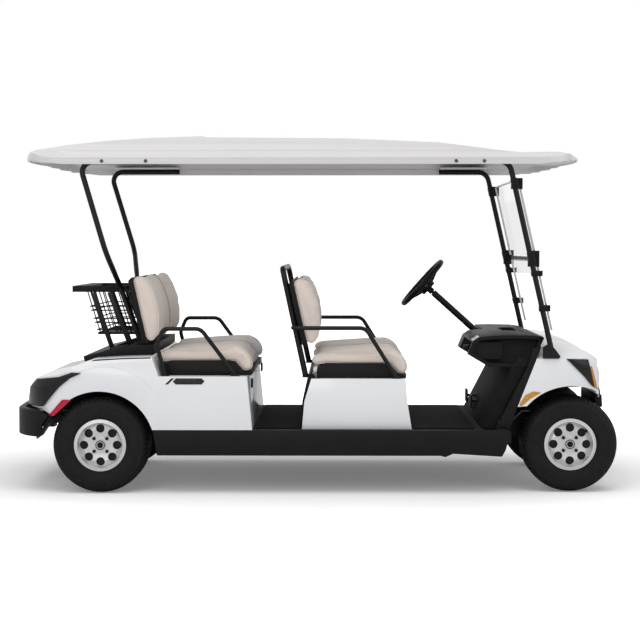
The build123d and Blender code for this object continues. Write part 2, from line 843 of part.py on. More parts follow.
# a thin black panel closes the back of the front seat base
with BuildPart() as seat_back_panel:
    profile(
        [
            (front_base_rear_x - fit_gap, floor_z + fit_gap),
            (front_base_rear_x + 12 - fit_gap, 438.0),
            (front_base_rear_x + 45 - fit_gap, seat_base_z),
            (front_base_rear_x + 30, seat_base_z),
            (front_base_rear_x + 2, 438.0),
            (front_base_rear_x - 10, floor_z + fit_gap),
        ],
        seat_base_w - 40,
    )
write(seat_back_panel, "seat_back_panel")

tray_side = [
    (14.0, seat_base_z + fit_gap),
    (14.0, 590.0),
    (54.0, 590.0 + 27.0),
    (329.0, 617.0),
    (363.0, 613.0),
    (406.0, 563.0),
    (lid_front_x, 561.0),
    (lid_front_x, seat_base_z + fit_gap),
]
cushion_side = [
    (-12.0, 617.0 + fit_gap),
    (-16.0, 640.0),
    (40.0, 646.0),
    (300.0, 664.0),
    (380.0, 664.0),
    (425.0, 640.0),
    (443.0, 600.0),
    (438.0, 567.0),
    (410.0, 567.0),
    (368.0, 617.0),
    (331.0, 617.0 + fit_gap),
]
pad_side = [
    (-96.4, 996.0),
    (-82.0, 1018.0),
    (-47.0, 1013.0),
    (-18.0, 956.0),
    (4.0, 890.0),
    (13.0, 824.0),
    (13.0, 744.0),
    (-12.0, 704.0),
    (-35.0, 720.0),
    (-52.0, 794.0),
]
shell_side = [
    (-96.4 - fit_gap, 996.0),
    (-52.0 - fit_gap, 794.0),
    (-35.0 - fit_gap, 720.0),
    (-35.0 - fit_gap, 700.0),
    (-57.0, 700.0),
    (-78.0, 794.0),
    (-121.4, 996.0),
    (-102.0, 1015.0),
]


for row, dx, dz in (("front", 0, 0), ("rear", row_dx, row_dz)):
    with BuildPart() as tray:
        profile(moved(tray_side, dx, dz), 2 * tray_half)
        profile(
            moved([(40.0, 540.0), (40.0, 600.0), (352.0, 600.0), (390.0, 556.0), (390.0, 540.0)], dx, dz),
            2 * tray_half - 30,
            mode=Mode.SUBTRACT,
        )
        for out in (-1, 1):
            barrel_z = seat_base_z + dz + hinge_lift
            hinge_barrel(hinge_x + dx, barrel_z, hinge_l, out * hinge_y)
            block(hinge_x + dx - 5, out * hinge_y, barrel_z + 1.5, 12, hinge_l, 3)
    write(tray, f"seat_tray_{row}")

    with BuildPart() as cushion:
        profile(moved(cushion_side, dx, dz), seat_w)
        split_y = 6.0
        block(dx + 200, 0, 660 + dz, 600, split_y, 60, mode=Mode.SUBTRACT)
    write(cushion, f"seat_cushion_{row}")

rows = ((0.0, 0.0), (pad_dx, row_dz))
pad_y = (pad_w + pad_gap) / 2
with BuildPart() as backrest_pads:
    for dx, dz in rows:
        for out in (-1, 1):
            profile(moved(pad_side, dx, dz), pad_w, centre_y=out * pad_y)
write(backrest_pads, "backrest_pads")

with BuildPart() as backrest_shells:
    for dx, dz in rows:
        for out in (-1, 1):
            profile(moved(shell_side, dx, dz), pad_w - 8, centre_y=out * pad_y)
write(backrest_shells, "backrest_shells")

# front backrest frame: a bent tube with a grab bar, standing on the seat base
frame_y = seat_base_w / 2 - 90
back_lean = (shell_side[6][0] - shell_side[5][0]) / (shell_side[6][1] - shell_side[5][1])
frame_off = (frame_tube_r + fit_gap) * sqrt(1 + back_lean**2)


def frame_x(z, off=frame_off):
    """X of a tube that follows the back of the front shells at height z."""
    return shell_side[5][0] - off + back_lean * (z - shell_side[5][1])


grab_z = 1066.0
foot_t = 8.0
foot_z = seat_base_z + fit_gap + foot_t / 2
with BuildPart() as front_back_frame:
    bar(
        [
            (frame_x(foot_z), -frame_y, foot_z),
            (frame_x(grab_z), -frame_y, grab_z),
            (frame_x(grab_z), frame_y, grab_z),
            (frame_x(foot_z), frame_y, foot_z),
        ],
        frame_tube_r,
        60,
    )
    for out in (-1, 1):
        block(-25, out * frame_y, foot_z, 62, 50, foot_t)
        block(-25, out * frame_y, foot_z + foot_t, 50, 8, foot_t)
    crossbar(frame_x(900.0), 900.0, 8, frame_y)
write(front_back_frame, "front_back_frame")

arm_z = 787.0
arm_back_x = frame_x(arm_z) - 8
arm_foot_y = seat_base_w / 2 - 12
rear_foot_z = rear_base_z + fit_gap + foot_t / 2
with BuildPart() as armrests:
    for out in (-1, 1):
        bar(
            [
                (arm_back_x, out * (frame_y + frame_tube_r + fit_gap), arm_z),
                (arm_back_x, out * arm_y, arm_z),
                (245.0, out * arm_y, arm_z),
                (392.0, out * arm_foot_y, foot_z + 2),
            ],
            arm_tube_r,
            (30, 50),
        )
        block(392, out * arm_foot_y, foot_z, 42, 22, foot_t)
        bar(
            [
                (row_dx + 32, out * (arm_y - 10), rear_foot_z + 2),
                (row_dx - 7, out * arm_y, 706.0),
                (row_dx + 26, out * arm_y, 783.0),
                (row_dx + 202, out * arm_y, 783.0),
                (row_dx + 363, out * (arm_y - 19), rear_foot_z + 2),
            ],
            arm_tube_r,
            (40, 30, 50),
        )
        block(row_dx + 32, out * (arm_y - 10), rear_foot_z, 40, 26, foot_t)
        block(row_dx + 363, out * (arm_y - 19), rear_foot_z, 42, 26, foot_t)
write(armrests, "armrests")

# cross tubes that carry the rear backrest shells between the roof supports
back_bar_r = 9.0
bracket_t = 6.0
strut_lean = (rear_knee_x - rear_foot_x) / (rear_knee_z - deck_z - 8)
with BuildPart() as rear_back_bars:
    for z in (900.0, 790.0):
        bar_x = frame_x(z - row_dz, (back_bar_r + fit_gap) * sqrt(1 + back_lean**2)) + pad_dx
        strut_x = rear_foot_x + strut_lean * (z - deck_z - 8)
        bracket_y = rear_strut_foot_y - strut_r - fit_gap - bracket_t / 2
        crossbar(bar_x, z, back_bar_r, bracket_y)
        for out in (-1, 1):
            block((bar_x + strut_x) / 2, out * bracket_y, z, bar_x - strut_x + 10, bracket_t, 24)
write(rear_back_bars, "rear_back_bars")

# =====================================================================
# Front cowl, dash and toe board
# =====================================================================
cowl_side = at_front(
    [
        (-256.0, 412.0),
        (-143.0, 700.0),
        (-125.0, 742.0),
        (-21.0, 728.0),
        (32.0, 705.0),
        (95.0, 662.0),
        (130.0, 639.0),
        (157.0, 600.0),
        (181.0, 545.0),
        (226.0, 446.0),
    ]
)


def cowl_solid(margin, extra_low):
    """Hood and fenders drawn in by margin."""
    outline = [(x - margin if x > front_axle_x - 74 else x - 0.4 * margin, z - margin) for x, z in cowl_side]
    low = [(cowl_side[-1][0] - margin, 446.0 - extra_low), (cowl_side[0][0], 412.0 - extra_low)]
    profile(outline + low, 2 * body_w)
    half = cowl_w / 2 - margin
    with BuildSketch(Plane.YZ) as front_view:
        with BuildLine() as arch:
            Polyline((-half, 640.0 - margin), (-half, 100.0), (half, 100.0), (half, 640.0 - margin))
            ThreePointArc((half, 640.0 - margin), (0, 762.0 - margin), (-half, 640.0 - margin))
        make_face(arch.edges())
    extrude(front_view.sketch, amount=wheelbase, mode=Mode.INTERSECT)
    with BuildSketch(Plane.XY) as plan_view:
        front_plan(half, nose_x - 6 - margin, front_axle_x - 324)
    extrude(plan_view.sketch, amount=900, mode=Mode.INTERSECT)


with BuildPart() as cowl_hollow:
    cowl_solid(wall, 200)
with BuildPart() as front_cowl:
    cowl_solid(0, 0)
    add(cowl_hollow.part, mode=Mode.SUBTRACT)
    arch_cut(front_axle_x, axle_z, front_arch_r, cowl_w / 2 + 10, 190)
write(front_cowl, "front_cowl")

dash_w = cowl_w - 40
pillar_in_y = dash_w / 2 + 1

# black wheel liners; the front ones are wide enough for the steered tyres
liner_side = at_front(
    [
        (-324.0, 330.0),
        (-294.0, 420.0),
        (-224.0, 487.0),
        (-144.0, 508.0),
        (136.0, 508.0),
        (160.0, 480.0),
        (162.0, 452.0),
    ]
)
with BuildPart() as wheel_liners:
    lower = [(x + 5 if x < front_axle_x - 124 else x - 5, z - 4) for x, z in liner_side]
    profile(liner_side + lower[::-1], 2 * body_w)
    with BuildSketch(Plane.XY):
        front_plan(pillar_in_y - fit_gap, nose_x - 6 - wall - fit_gap, front_axle_x - 344)
    extrude(amount=900, mode=Mode.INTERSECT)
    block(front_axle_x, 0, 450, 900, 2 * (rail_y + rail_w / 2 + 85), 500, mode=Mode.SUBTRACT)
    arch_cut(rear_axle_x - 2, arch_z, arch_r + lining_t, liner_y, liner_w, mode=Mode.ADD)
    arch_cut(rear_axle_x - 2, arch_z, arch_r, liner_y, liner_w - lining_t)
    block(rear_axle_x, 0, 0, 900, body_w, 2 * 372, mode=Mode.SUBTRACT)
write(wheel_liners, "wheel_liners")

with BuildPart() as toe_board:
    profile(
        at_front(
            [
                (-424.0, floor_z + fit_gap),
                (-418.0, floor_z + fit_gap),
                (-293.0, 545.0),
                (-284.0, 600.7),
                (-290.0, 600.7),
                (-299.0, 546.0),
            ]
        ),
        dash_w,
    )
    # side cheeks that close the footwell up to the pillars
    cheek_t = 4.0
    cheek = at_front(
        [
            (-422.0, floor_z + fit_gap),
            (-297.0, 545.0),
            (-288.0, 600.7),
            (-212.0, 600.7),
            (-244.0, 539.0),
            (-317.0, 394.0),
            (-362.0, floor_z + fit_gap),
        ]
    )
    for out in (-1, 1):
        profile(cheek, cheek_t, centre_y=out * (dash_w - cheek_t) / 2)
write(toe_board, "toe_board")

with BuildPart() as dash_pillars:
    for out in (-1, 1):
        profile(
            at_front(
                [
                    (-362.0, floor_z + fit_gap),
                    (-316.0, 394.0),
                    (-243.0, 539.0),
                    (-211.0, 601.0),
                    (-184.0, 690.0),
                    (-143.4, 700.0),
                    (-256.4, 412.0),
                    (-292.0, floor_z + fit_gap),
                ]
            ),
            cowl_w / 2 - pillar_in_y,
            centre_y=out * (cowl_w / 2 + pillar_in_y) / 2,
        )
write(dash_pillars, "dash_pillars")

# dash: an open bin for the passenger, cup holders in the middle, a hollow for the column
cup_r = 38.0
cup_depth = 60.0
cup_x = front_axle_x - 249
column_end = 430.0
column_tilt = 42.0
wheel_x = front_axle_x - 663
wheel_z = 982.0
column_down = Vector(cos(radians(column_tilt)), 0, -sin(radians(column_tilt)))
wheel_centre = Vector(wheel_x, column_y, wheel_z)
dash_top_z = 752.0
driver_face_x = front_axle_x - 364
bin_h = 82.0
with BuildPart() as dash:
    profile(
        at_front(
            [
                (-468.0, 722.0),
                (-439.0, 742.0),
                (-366.0, 750.0),
                (-287.0, dash_top_z),
                (-178.0, 750.0),
                (-134.0, 744.0),
                (-130.0, 735.0),
                (-148.0, 700.0),
                (-188.0, 601.0),
                (-392.0, 601.0),
                (-493.0, 661.0),
            ]
        ),
        dash_w,
    )
    # the driver's side stands further forward than the passenger's
    cut_l = 200.0
    cut_w = dash_w / 2 - 90
    block(driver_face_x - cut_l / 2, dash_w / 2 - cut_w / 2, 680, cut_l, cut_w, 400, mode=Mode.SUBTRACT)
    block(driver_face_x - 120, -dash_w / 2 + 250, 676, 320, 440, bin_h, mode=Mode.SUBTRACT)
    block(driver_face_x + 85, dash_w / 2 - 195, 660, 150, 330, 120, mode=Mode.SUBTRACT)
    with BuildSketch(Plane(origin=wheel_centre, z_dir=column_down)) as column_hole:
        Circle(column_r + fit_gap)
    extrude(column_hole.sketch, amount=column_end + 20, mode=Mode.SUBTRACT)
    for y in (-60.0, 50.0):
        with Locations((cup_x, y, dash_top_z)):
            Cylinder(cup_r, 2 * cup_depth, mode=Mode.SUBTRACT)
write(dash, "dash")

# =====================================================================
# Front supports and windshield
# =====================================================================
strut_top_x = front_axle_x - 302
strut_foot_x = front_axle_x - 93
strut_foot_z = 662.0
front_lean = (strut_foot_x - strut_top_x) / (strut_foot_z - strut_top_z)


def strut_x_at(z):
    """X of the front support's axis at height z."""
    return strut_foot_x + front_lean * (z - strut_foot_z)


with BuildPart() as front_struts:
    for out in (-1, 1):
        bar(
            [
                (strut_top_x - 258, out * strut_y, strut_top_z),
                (strut_top_x, out * strut_y, strut_top_z),
                (strut_foot_x, out * strut_y, strut_foot_z),
            ],
            strut_r,
            60,
        )
        profile(
            at_front([(-138.0, 646.0), (-138.0, 696.0), (-104.0, 716.0), (-58.0, 656.0), (-58.0, 646.0)]),
            24,
            centre_y=out * strut_y,
        )
write(front_struts, "front_struts")

shield_off = strut_r + 11.0
with BuildPart() as windshield_panes:
    for z_low, z_high in ((772.0, 1106.0), (1124.0, 1496.0)):
        profile(
            [
                (strut_x_at(z_low) + shield_off, z_low),
                (strut_x_at(z_high) + shield_off, z_high),
                (strut_x_at(z_high) + shield_off + shield_t, z_high),
                (strut_x_at(z_low) + shield_off + shield_t, z_low),
            ],
            shield_w,
        )
write(windshield_panes, "windshield_panes")

with BuildPart() as windshield_fittings:
    clip_y = (shield_w / 2 + strut_y - strut_r) / 2
    clip_w = strut_y - strut_r - shield_w / 2 - 2 * fit_gap
    for z, clip_h in ((1470.0, 52.0), (1115.0, 76.0), (1045.0, 26.0), (880.0, 30.0)):
        for out in (-1, 1):
            block(strut_x_at(z) + 14, out * clip_y, z, 54, clip_w, clip_h)
    crossbar(strut_x_at(1115.0) + shield_off + 2, 1115.0, 8, clip_y)
write(windshield_fittings, "windshield_fittings")

# =====================================================================
# Steering wheel and column
# =====================================================================
shaft_r = 9.0
hub_drop = 34.0
hub_h = 30.0
column_start = 78.0
wheel_plane = Plane(origin=wheel_centre, z_dir=column_down)
with BuildPart() as steering_wheel:
    with Locations(wheel_plane):
        Torus(wheel_ring_r - wheel_grip_r, wheel_grip_r)
    with Locations(wheel_plane.offset(hub_drop)):
        Cylinder(42, hub_h)
    ring_plane_x = wheel_plane.x_dir
    ring_plane_y = wheel_plane.y_dir
    for turn in (90, 200, 340):
        reach = ring_plane_x * cos(radians(turn)) + ring_plane_y * sin(radians(turn))
        start = wheel_centre + column_down * hub_drop + reach * 30
        end = wheel_centre + reach * (wheel_ring_r - wheel_grip_r)
        rod(start, end, 9)
    shaft_l = 100.0
    with Locations(wheel_plane.offset(hub_drop + shaft_l / 2)):
        Cylinder(shaft_r, shaft_l)
write(steering_wheel, "steering_wheel")

with BuildPart() as steering_column:
    with Locations(wheel_plane.offset((column_start + column_end) / 2)):
        Cylinder(column_r, column_end - column_start)
        Cylinder(shaft_r + spin_gap, column_end - column_start, mode=Mode.SUBTRACT)
write(steering_column, "steering_column")

with BuildPart() as pedals:
    for pedal_dx, y, z, pad_size in ((-432.0, 250.0, 392.0, 78.0), (-418.0, 135.0, 372.0, 56.0)):
        pedal_x = front_axle_x + pedal_dx
        block(pedal_x, y, z, 10, pad_size, 64)
        toe_x = front_axle_x - 423.3 + (z - floor_z) * 125 / (545.0 - floor_z)
        block((pedal_x + toe_x) / 2 - 2, y, z, toe_x - pedal_x - 5, 14, 12)
write(pedals, "pedals")

# =====================================================================
# Lamps, markers, badges and small front pieces
# =====================================================================
with BuildPart() as headlamps:
    skin(
        at_front(
            [(-28.0, 642.0), (83.0, 636.0), (92.0, 602.0), (118.0, 498.0), (100.0, 512.0), (63.0, 554.0)]
        ),
        front_plan,
        front_size(6),
        front_size(fit_gap),
    )
write(headlamps, "headlamps")

corner_lens = at_front([(93.5, 602.0), (104.0, 600.0), (138.0, 488.0), (119.5, 498.0)])
arch_lens = at_front(
    [
        (-248.0, 424.0),
        (-240.0, 414.0),
        (-194.0, 452.0),
        (-145.0, 480.0),
        (-184.0, 486.0),
        (-220.0, 468.0),
    ]
)
with BuildPart() as front_markers:
    for lens, lens_lift in ((corner_lens, 4), (arch_lens, 3)):
        with BuildPart(mode=Mode.PRIVATE) as pair:
            skin(lens, front_plan, front_size(lens_lift), front_size(fit_gap))
        add(pair.part)
write(front_markers, "front_markers")

with BuildPart() as front_bumper:
    profile(
        [
            (rail_front_x + fit_gap, 300.0),
            (rail_front_x + 14, 300.0),
            (nose_x - 44, 372.0),
            (nose_x - 26, 376.0),
            (nose_x - 30, 440.0),
            (rail_front_x + fit_gap, 440.0),
        ],
        2 * (rail_y + 40),
    )
write(front_bumper, "front_bumper")

badge_t = 2.0
badge_lozenge = at_rear(
    [(350.0, 534.0), (364.0, 550.0), (486.0, 550.0), (500.0, 536.0), (486.0, 521.0), (364.0, 521.0)]
)
badge_slash = at_rear([(313.0, 521.0), (326.0, 521.0), (356.0, 550.0), (343.0, 550.0)])
with BuildPart() as side_badges:
    for out in (-1, 1):
        for outline in (badge_lozenge, badge_slash):
            profile(outline, badge_t, centre_y=out * (body_w / 2 + fit_gap + badge_t / 2))
write(side_badges, "side_badges")
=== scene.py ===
import json
import math
import bpy
from mathutils import Matrix, Vector


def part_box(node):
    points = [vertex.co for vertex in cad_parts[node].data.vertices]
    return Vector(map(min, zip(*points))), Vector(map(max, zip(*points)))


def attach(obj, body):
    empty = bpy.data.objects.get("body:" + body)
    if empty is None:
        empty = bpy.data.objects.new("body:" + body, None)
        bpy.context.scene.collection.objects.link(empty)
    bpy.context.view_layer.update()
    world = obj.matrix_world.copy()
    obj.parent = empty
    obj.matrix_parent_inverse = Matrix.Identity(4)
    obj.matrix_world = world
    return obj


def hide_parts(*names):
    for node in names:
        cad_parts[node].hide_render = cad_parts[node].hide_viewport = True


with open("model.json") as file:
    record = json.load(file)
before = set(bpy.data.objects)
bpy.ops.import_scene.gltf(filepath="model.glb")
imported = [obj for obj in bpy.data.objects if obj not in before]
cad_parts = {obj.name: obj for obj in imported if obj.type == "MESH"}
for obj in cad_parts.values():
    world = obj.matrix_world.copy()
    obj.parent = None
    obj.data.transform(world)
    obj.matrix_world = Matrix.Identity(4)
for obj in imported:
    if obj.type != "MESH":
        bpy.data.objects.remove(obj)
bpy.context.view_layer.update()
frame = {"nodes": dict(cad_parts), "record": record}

# Places and sizes of the cart, in metres: X forward, Y to the driver's left, Z up.
WHEELBASE = 2.240
REAR_AXLE_X = -1.016
FRONT_AXLE_X = REAR_AXLE_X + WHEELBASE
TYRE_R = 0.2286
FRONT_TRACK = 0.864
REAR_TRACK = 0.980
BODY_W = 1.200
COWL_W = 1.120
ROOF_LIP_Z = 1.560
STRUT_Y = COWL_W / 2
STRUT_FOOT = (FRONT_AXLE_X - 0.093, 0.662)
STRUT_TOP = (FRONT_AXLE_X - 0.302, ROOF_LIP_Z + 0.015)

# Which way is outwards on the cart's right and left side.
SIDES = (-1, 1)
SIDE_NAMES = (("right", -1), ("left", 1))

# Which body a CAD node moves with, and which finish it has.
BODY_OF = {
    node: body
    for body, nodes in frame["record"]["behaviour"]["bodies"].items()
    for node in nodes
}
SLOT_OF = {part["node"]: part["material_slot"] for part in frame["record"]["subparts"]}


# ---------------------------------------------------------------------
# Camera and light
# ---------------------------------------------------------------------
SENSOR = 36.0
VIEW_WIDTH = 640.0
FOCAL_LENGTH = 1571.0
EYE = (0.104, -8.0, 1.175)
# How far the view leans sideways and up, over the focal length.
AIM = (-15.75, -74.0)

WORLD_TINT = (0.97, 0.985, 1.0, 1.0)
WORLD_STRENGTH = 0.40
WHITE = (1.0, 1.0, 1.0, 1.0)
# Each lamp's name, place, target, size and power.
LAMPS = (
    ("top_lamp", (0.0, -3.0, 13.0), (0, 0, 0.5), 12.0, 900.0),
    ("side_lamp", (-2.5, -6.0, 3.2), (0, 0, 0.7), 3.5, 75.0),
    ("front_lamp", (5.0, -3.0, 2.4), (0.4, 0, 0.7), 3.0, 35.0),
)


def place_camera():
    """A long lens at eye height, square to the cart's right side."""
    data = bpy.data.cameras.new("camera")
    data.sensor_width = SENSOR
    data.lens = FOCAL_LENGTH / VIEW_WIDTH * SENSOR
    camera = bpy.data.objects.new("camera", data)
    bpy.context.scene.collection.objects.link(camera)
    camera.location = EYE
    view = Vector((AIM[0] / FOCAL_LENGTH, 1.0, AIM[1] / FOCAL_LENGTH))
    camera.rotation_euler = view.to_track_quat("-Z", "Y").to_euler()
    bpy.context.scene.camera = camera


def add_lamp(name, place, target, size, power):
    """A soft square lamp that faces a point."""
    data = bpy.data.lights.new(name, "AREA")
    data.size = size
    data.energy = power
    lamp = bpy.data.objects.new(name, data)
    bpy.context.scene.collection.objects.link(lamp)
    lamp.location = place
    aim = Vector(target) - Vector(place)
    lamp.rotation_euler = aim.to_track_quat("-Z", "Y").to_euler()


def light_the_studio():
    """White surroundings and three large soft lamps."""
    world = bpy.data.worlds.new("studio")
    bpy.context.scene.world = world
    world.use_nodes = True
    tree = world.node_tree
    tree.nodes.clear()
    rays = tree.nodes.new("ShaderNodeLightPath")
    mask = rays.outputs["Is Camera Ray"]
    for kind in ("Is Glossy Ray", "Is Transmission Ray"):
        either = tree.nodes.new("ShaderNodeMath")
        either.operation = "MAXIMUM"
        tree.links.new(mask, either.inputs[0])
        tree.links.new(rays.outputs[kind], either.inputs[1])
        mask = either.outputs[0]
    soft = tree.nodes.new("ShaderNodeBackground")
    soft.inputs["Color"].default_value = WORLD_TINT
    soft.inputs["Strength"].default_value = WORLD_STRENGTH
    white = tree.nodes.new("ShaderNodeBackground")
    white.inputs["Color"].default_value = WHITE
    white.inputs["Strength"].default_value = 1.0
    mix = tree.nodes.new("ShaderNodeMixShader")
    out = tree.nodes.new("ShaderNodeOutputWorld")
    tree.links.new(mask, mix.inputs[0])
    tree.links.new(soft.outputs[0], mix.inputs[1])
    tree.links.new(white.outputs[0], mix.inputs[2])
    tree.links.new(mix.outputs[0], out.inputs["Surface"])
    for lamp in LAMPS:
        add_lamp(*lamp)


# ---------------------------------------------------------------------
# Materials
# ---------------------------------------------------------------------
class Value:
    """A socket that takes part in arithmetic by adding Math nodes."""

    def __init__(self, shade, socket):
        self.shade = shade
        self.socket = socket

    def _math(self, operation, first, second):
        return self.shade.node("ShaderNodeMath", {"operation": operation}, {0: first, 1: second})

    def __add__(self, other):
        return self._math("ADD", self, other)

    def __radd__(self, other):
        return self._math("ADD", other, self)

    def __mul__(self, other):
        return self._math("MULTIPLY", self, other)

    def __rmul__(self, other):
        return self._math("MULTIPLY", other, self)

    def __pow__(self, other):
        return self._math("POWER", self, other)


class Shade:
    """A material whose Principled shader is fed by expressions."""

    def __init__(self, name, color, roughness, metallic=0.0, **fixed):
        self.material = bpy.data.materials.new(name)
        self.material.use_nodes = True
        self.tree = self.material.node_tree
        self.shader = self.tree.nodes["Principled BSDF"]
        self.set("Base Color", (*color, 1.0))
        self.set("Roughness", roughness)
        self.set("Metallic", metallic)
        for socket_name, value in fixed.items():
            self.set(socket_name.replace("_", " "), value)
        self.place = self.node("ShaderNodeTexCoord", {}, {}, "Object")

    def node(self, kind, settings, sockets, output=0):
        """Add any node: its settings first, then the values or links of its sockets."""
        made = self.tree.nodes.new(kind)
        for key, value in settings.items():
            setattr(made, key, value)
        for key, value in sockets.items():
            if isinstance(value, Value):
                self.tree.links.new(value.socket, made.inputs[key])
            else:
                made.inputs[key].default_value = value
        return Value(self, made.outputs[output])

    def set(self, name, value):
        """Give one socket of the shader a value or a link."""
        if isinstance(value, Value):
            self.tree.links.new(value.socket, self.shader.inputs[name])
        else:
            self.shader.inputs[name].default_value = value

    def noise(self, scale, detail=3.0):
        """A soft random value from 0 to 1 over the object."""
        sockets = {"Vector": self.place, "Scale": scale, "Detail": detail, "Roughness": 0.55}
        return self.node("ShaderNodeTexNoise", {}, sockets, "Fac")

    def cells(self, scale, feature="F1"):
        """Distance to the nearest of many scattered points, or to the edge between them."""
        sockets = {"Vector": self.place, "Scale": scale}
        return self.node("ShaderNodeTexVoronoi", {"feature": feature}, sockets, "Distance")

    def axis(self, name):
        """One coordinate of the place on the object, in metres."""
        return self.node("ShaderNodeSeparateXYZ", {}, {0: self.place}, name)

    def ramp(self, value, low, high):
        """0 below low, 1 above high."""
        sockets = {"Value": value, "From Min": low, "From Max": high}
        return self.node("ShaderNodeMapRange", {}, sockets)

    def blend(self, factor, first, second):
        """A colour between two colours."""
        sockets = {0: factor, 6: (*first, 1.0), 7: (*second, 1.0)}
        return self.node("ShaderNodeMix", {"data_type": "RGBA"}, sockets, 2)

    def bump(self, height, strength, distance):
        """Raise the surface's look by a height value."""
        sockets = {"Height": height, "Strength": strength, "Distance": distance}
        self.set("Normal", self.node("ShaderNodeBump", {}, sockets))


def white_panel():
    """Glossy moulded body panel with faint colour drift."""
    shade = Shade("body_white", (0.805, 0.81, 0.83), 0.24, Coat_Weight=0.5, Coat_Roughness=0.06)
    drift = shade.noise(2.5)
    shade.set("Base Color", shade.blend(drift, (0.785, 0.79, 0.81), (0.83, 0.835, 0.85)))
    shade.set("Roughness", 0.20 + 0.10 * shade.noise(9.0))
    shade.bump(shade.noise(160.0, 1.0), 0.03, 0.0006)
    return shade.material


def pale_roof():
    """Moulded roof skin with a soft satin grain."""
    shade = Shade("roof_white", (0.69, 0.67, 0.68), 0.38, Coat_Weight=0.15, Coat_Roughness=0.2)
    drift = shade.noise(1.8)
    shade.set("Base Color", shade.blend(drift, (0.655, 0.635, 0.645), (0.725, 0.705, 0.715)))
    shade.bump(shade.noise(420.0, 2.0), 0.10, 0.0006)
    return shade.material


def stone_vinyl():
    """Seat vinyl with a fine leather grain and slightly worn, cleaner high spots."""
    shade = Shade("cushion", (0.72, 0.62, 0.55), 0.46, Sheen_Weight=0.12, Sheen_Roughness=0.5)
    drift = shade.noise(7.0)
    shade.set("Base Color", shade.blend(drift, (0.68, 0.585, 0.515), (0.76, 0.665, 0.59)))
    shade.set("Roughness", 0.40 + 0.14 * shade.noise(30.0))
    grain = shade.cells(420.0, "DISTANCE_TO_EDGE")
    shade.bump(shade.ramp(grain, 0.0, 0.09) + 0.3 * shade.noise(900.0, 1.0), 0.22, 0.0008)
    return shade.material


def grained_plastic(name, color, roughness=0.46):
    """Black moulding with a pebbled grain and faint scuffs."""
    shade = Shade(name, color, roughness, Specular_IOR_Level=0.12)
    lighter = tuple(1.5 * part + 0.003 for part in color)
    shade.set("Base Color", shade.blend(shade.noise(12.0), color, lighter))
    shade.set("Roughness", roughness - 0.06 + 0.16 * shade.noise(40.0))
    shade.bump(shade.cells(700.0), 0.16, 0.0005)
    return shade.material


def powder_coat():
    """Black paint on tube and plate steel."""
    shade = Shade("black_steel", (0.007, 0.007, 0.008), 0.36, Specular_IOR_Level=0.2)
    shade.set("Roughness", 0.28 + 0.14 * shade.noise(60.0))
    shade.bump(shade.noise(1400.0, 1.0), 0.10, 0.0004)
    return shade.material


def engine_casting():
    """Dark cast metal."""
    shade = Shade("engine_metal", (0.10, 0.10, 0.10), 0.6, 0.7)
    shade.set("Base Color", shade.blend(shade.noise(20.0), (0.07, 0.07, 0.07), (0.14, 0.14, 0.13)))
    shade.bump(shade.noise(500.0), 0.3, 0.001)
    return shade.material


def tyre_rubber():
    """Tyre rubber, dusty in the low places."""
    shade = Shade("tyre", (0.010, 0.010, 0.011), 0.66, Specular_IOR_Level=0.12)
    dust = shade.noise(38.0, 5.0) ** 2.0
    shade.set("Base Color", shade.blend(dust, (0.008, 0.008, 0.009), (0.020, 0.019, 0.018)))
    shade.set("Roughness", 0.56 + 0.2 * shade.noise(70.0))
    shade.bump(shade.noise(700.0, 2.0), 0.2, 0.0006)
    return shade.material


def silver_paint():
    """Silver wheel paint with fine metal flake."""
    shade = Shade("rim", (0.60, 0.59, 0.60), 0.34, 0.45, Coat_Weight=0.3, Coat_Roughness=0.15)
    flake = shade.cells(1800.0)
    shade.set("Base Color", shade.blend(flake, (0.68, 0.665, 0.67), (0.50, 0.49, 0.50)))
    shade.set("Roughness", 0.30 + 0.16 * shade.noise(120.0))
    return shade.material


def ribbed_mat():
    """Floor mat rubber with fine ribs along the cart."""
    shade = Shade("floor_rubber", (0.006, 0.006, 0.006), 0.85, Specular_IOR_Level=0.05)
    ribs = shade.node("ShaderNodeMath", {"operation": "SINE"}, {0: shade.axis("Y") * 420.0})
    wear = shade.noise(25.0)
    shade.set("Base Color", shade.blend(wear, (0.005, 0.005, 0.005), (0.011, 0.0105, 0.010)))
    shade.bump(ribs, 0.35, 0.0012)
    return shade.material


def clear_sheet():
    """Windshield sheet."""
    shade = Shade("windshield", (0.93, 0.95, 0.96), 0.04, Alpha=0.14)
    shade.set("Roughness", 0.03 + 0.05 * shade.noise(3.0))
    shade.material.surface_render_method = "BLENDED"
    return shade.material


def lens(name, color):
    """Moulded lens with small prisms behind a glossy face."""
    shade = Shade(name, color, 0.26, Specular_IOR_Level=0.2, Coat_Weight=0.12, Coat_Roughness=0.08)
    prisms = shade.cells(230.0)
    deep = tuple(0.6 * part for part in color)
    shade.set("Base Color", shade.blend(shade.ramp(prisms, 0.1, 0.6), color, deep))
    shade.bump(prisms, 0.12, 0.0008)
    return shade.material


MOULDING_BLACK = (0.006, 0.0055, 0.0055)
MATERIALS = {
    "body_white": white_panel(),
    "roof_white": pale_roof(),
    "cushion": stone_vinyl(),
    "black_plastic": grained_plastic("black_plastic", MOULDING_BLACK),
    "floor_plastic": grained_plastic("floor_plastic", MOULDING_BLACK, 0.80),
    "badge": grained_plastic("badge", (0.022, 0.022, 0.024), 0.25),
    "black_steel": powder_coat(),
    "engine_metal": engine_casting(),
    "tyre": tyre_rubber(),
    "rim": silver_paint(),
    "floor_rubber": ribbed_mat(),
    "windshield": clear_sheet(),
    "lamp_dark": lens("lamp_dark", (0.010, 0.010, 0.012)),
    "marker_amber": lens("marker_amber", (0.80, 0.36, 0.05)),
    "reflector_red": lens("reflector_red", (0.66, 0.02, 0.06)),
}


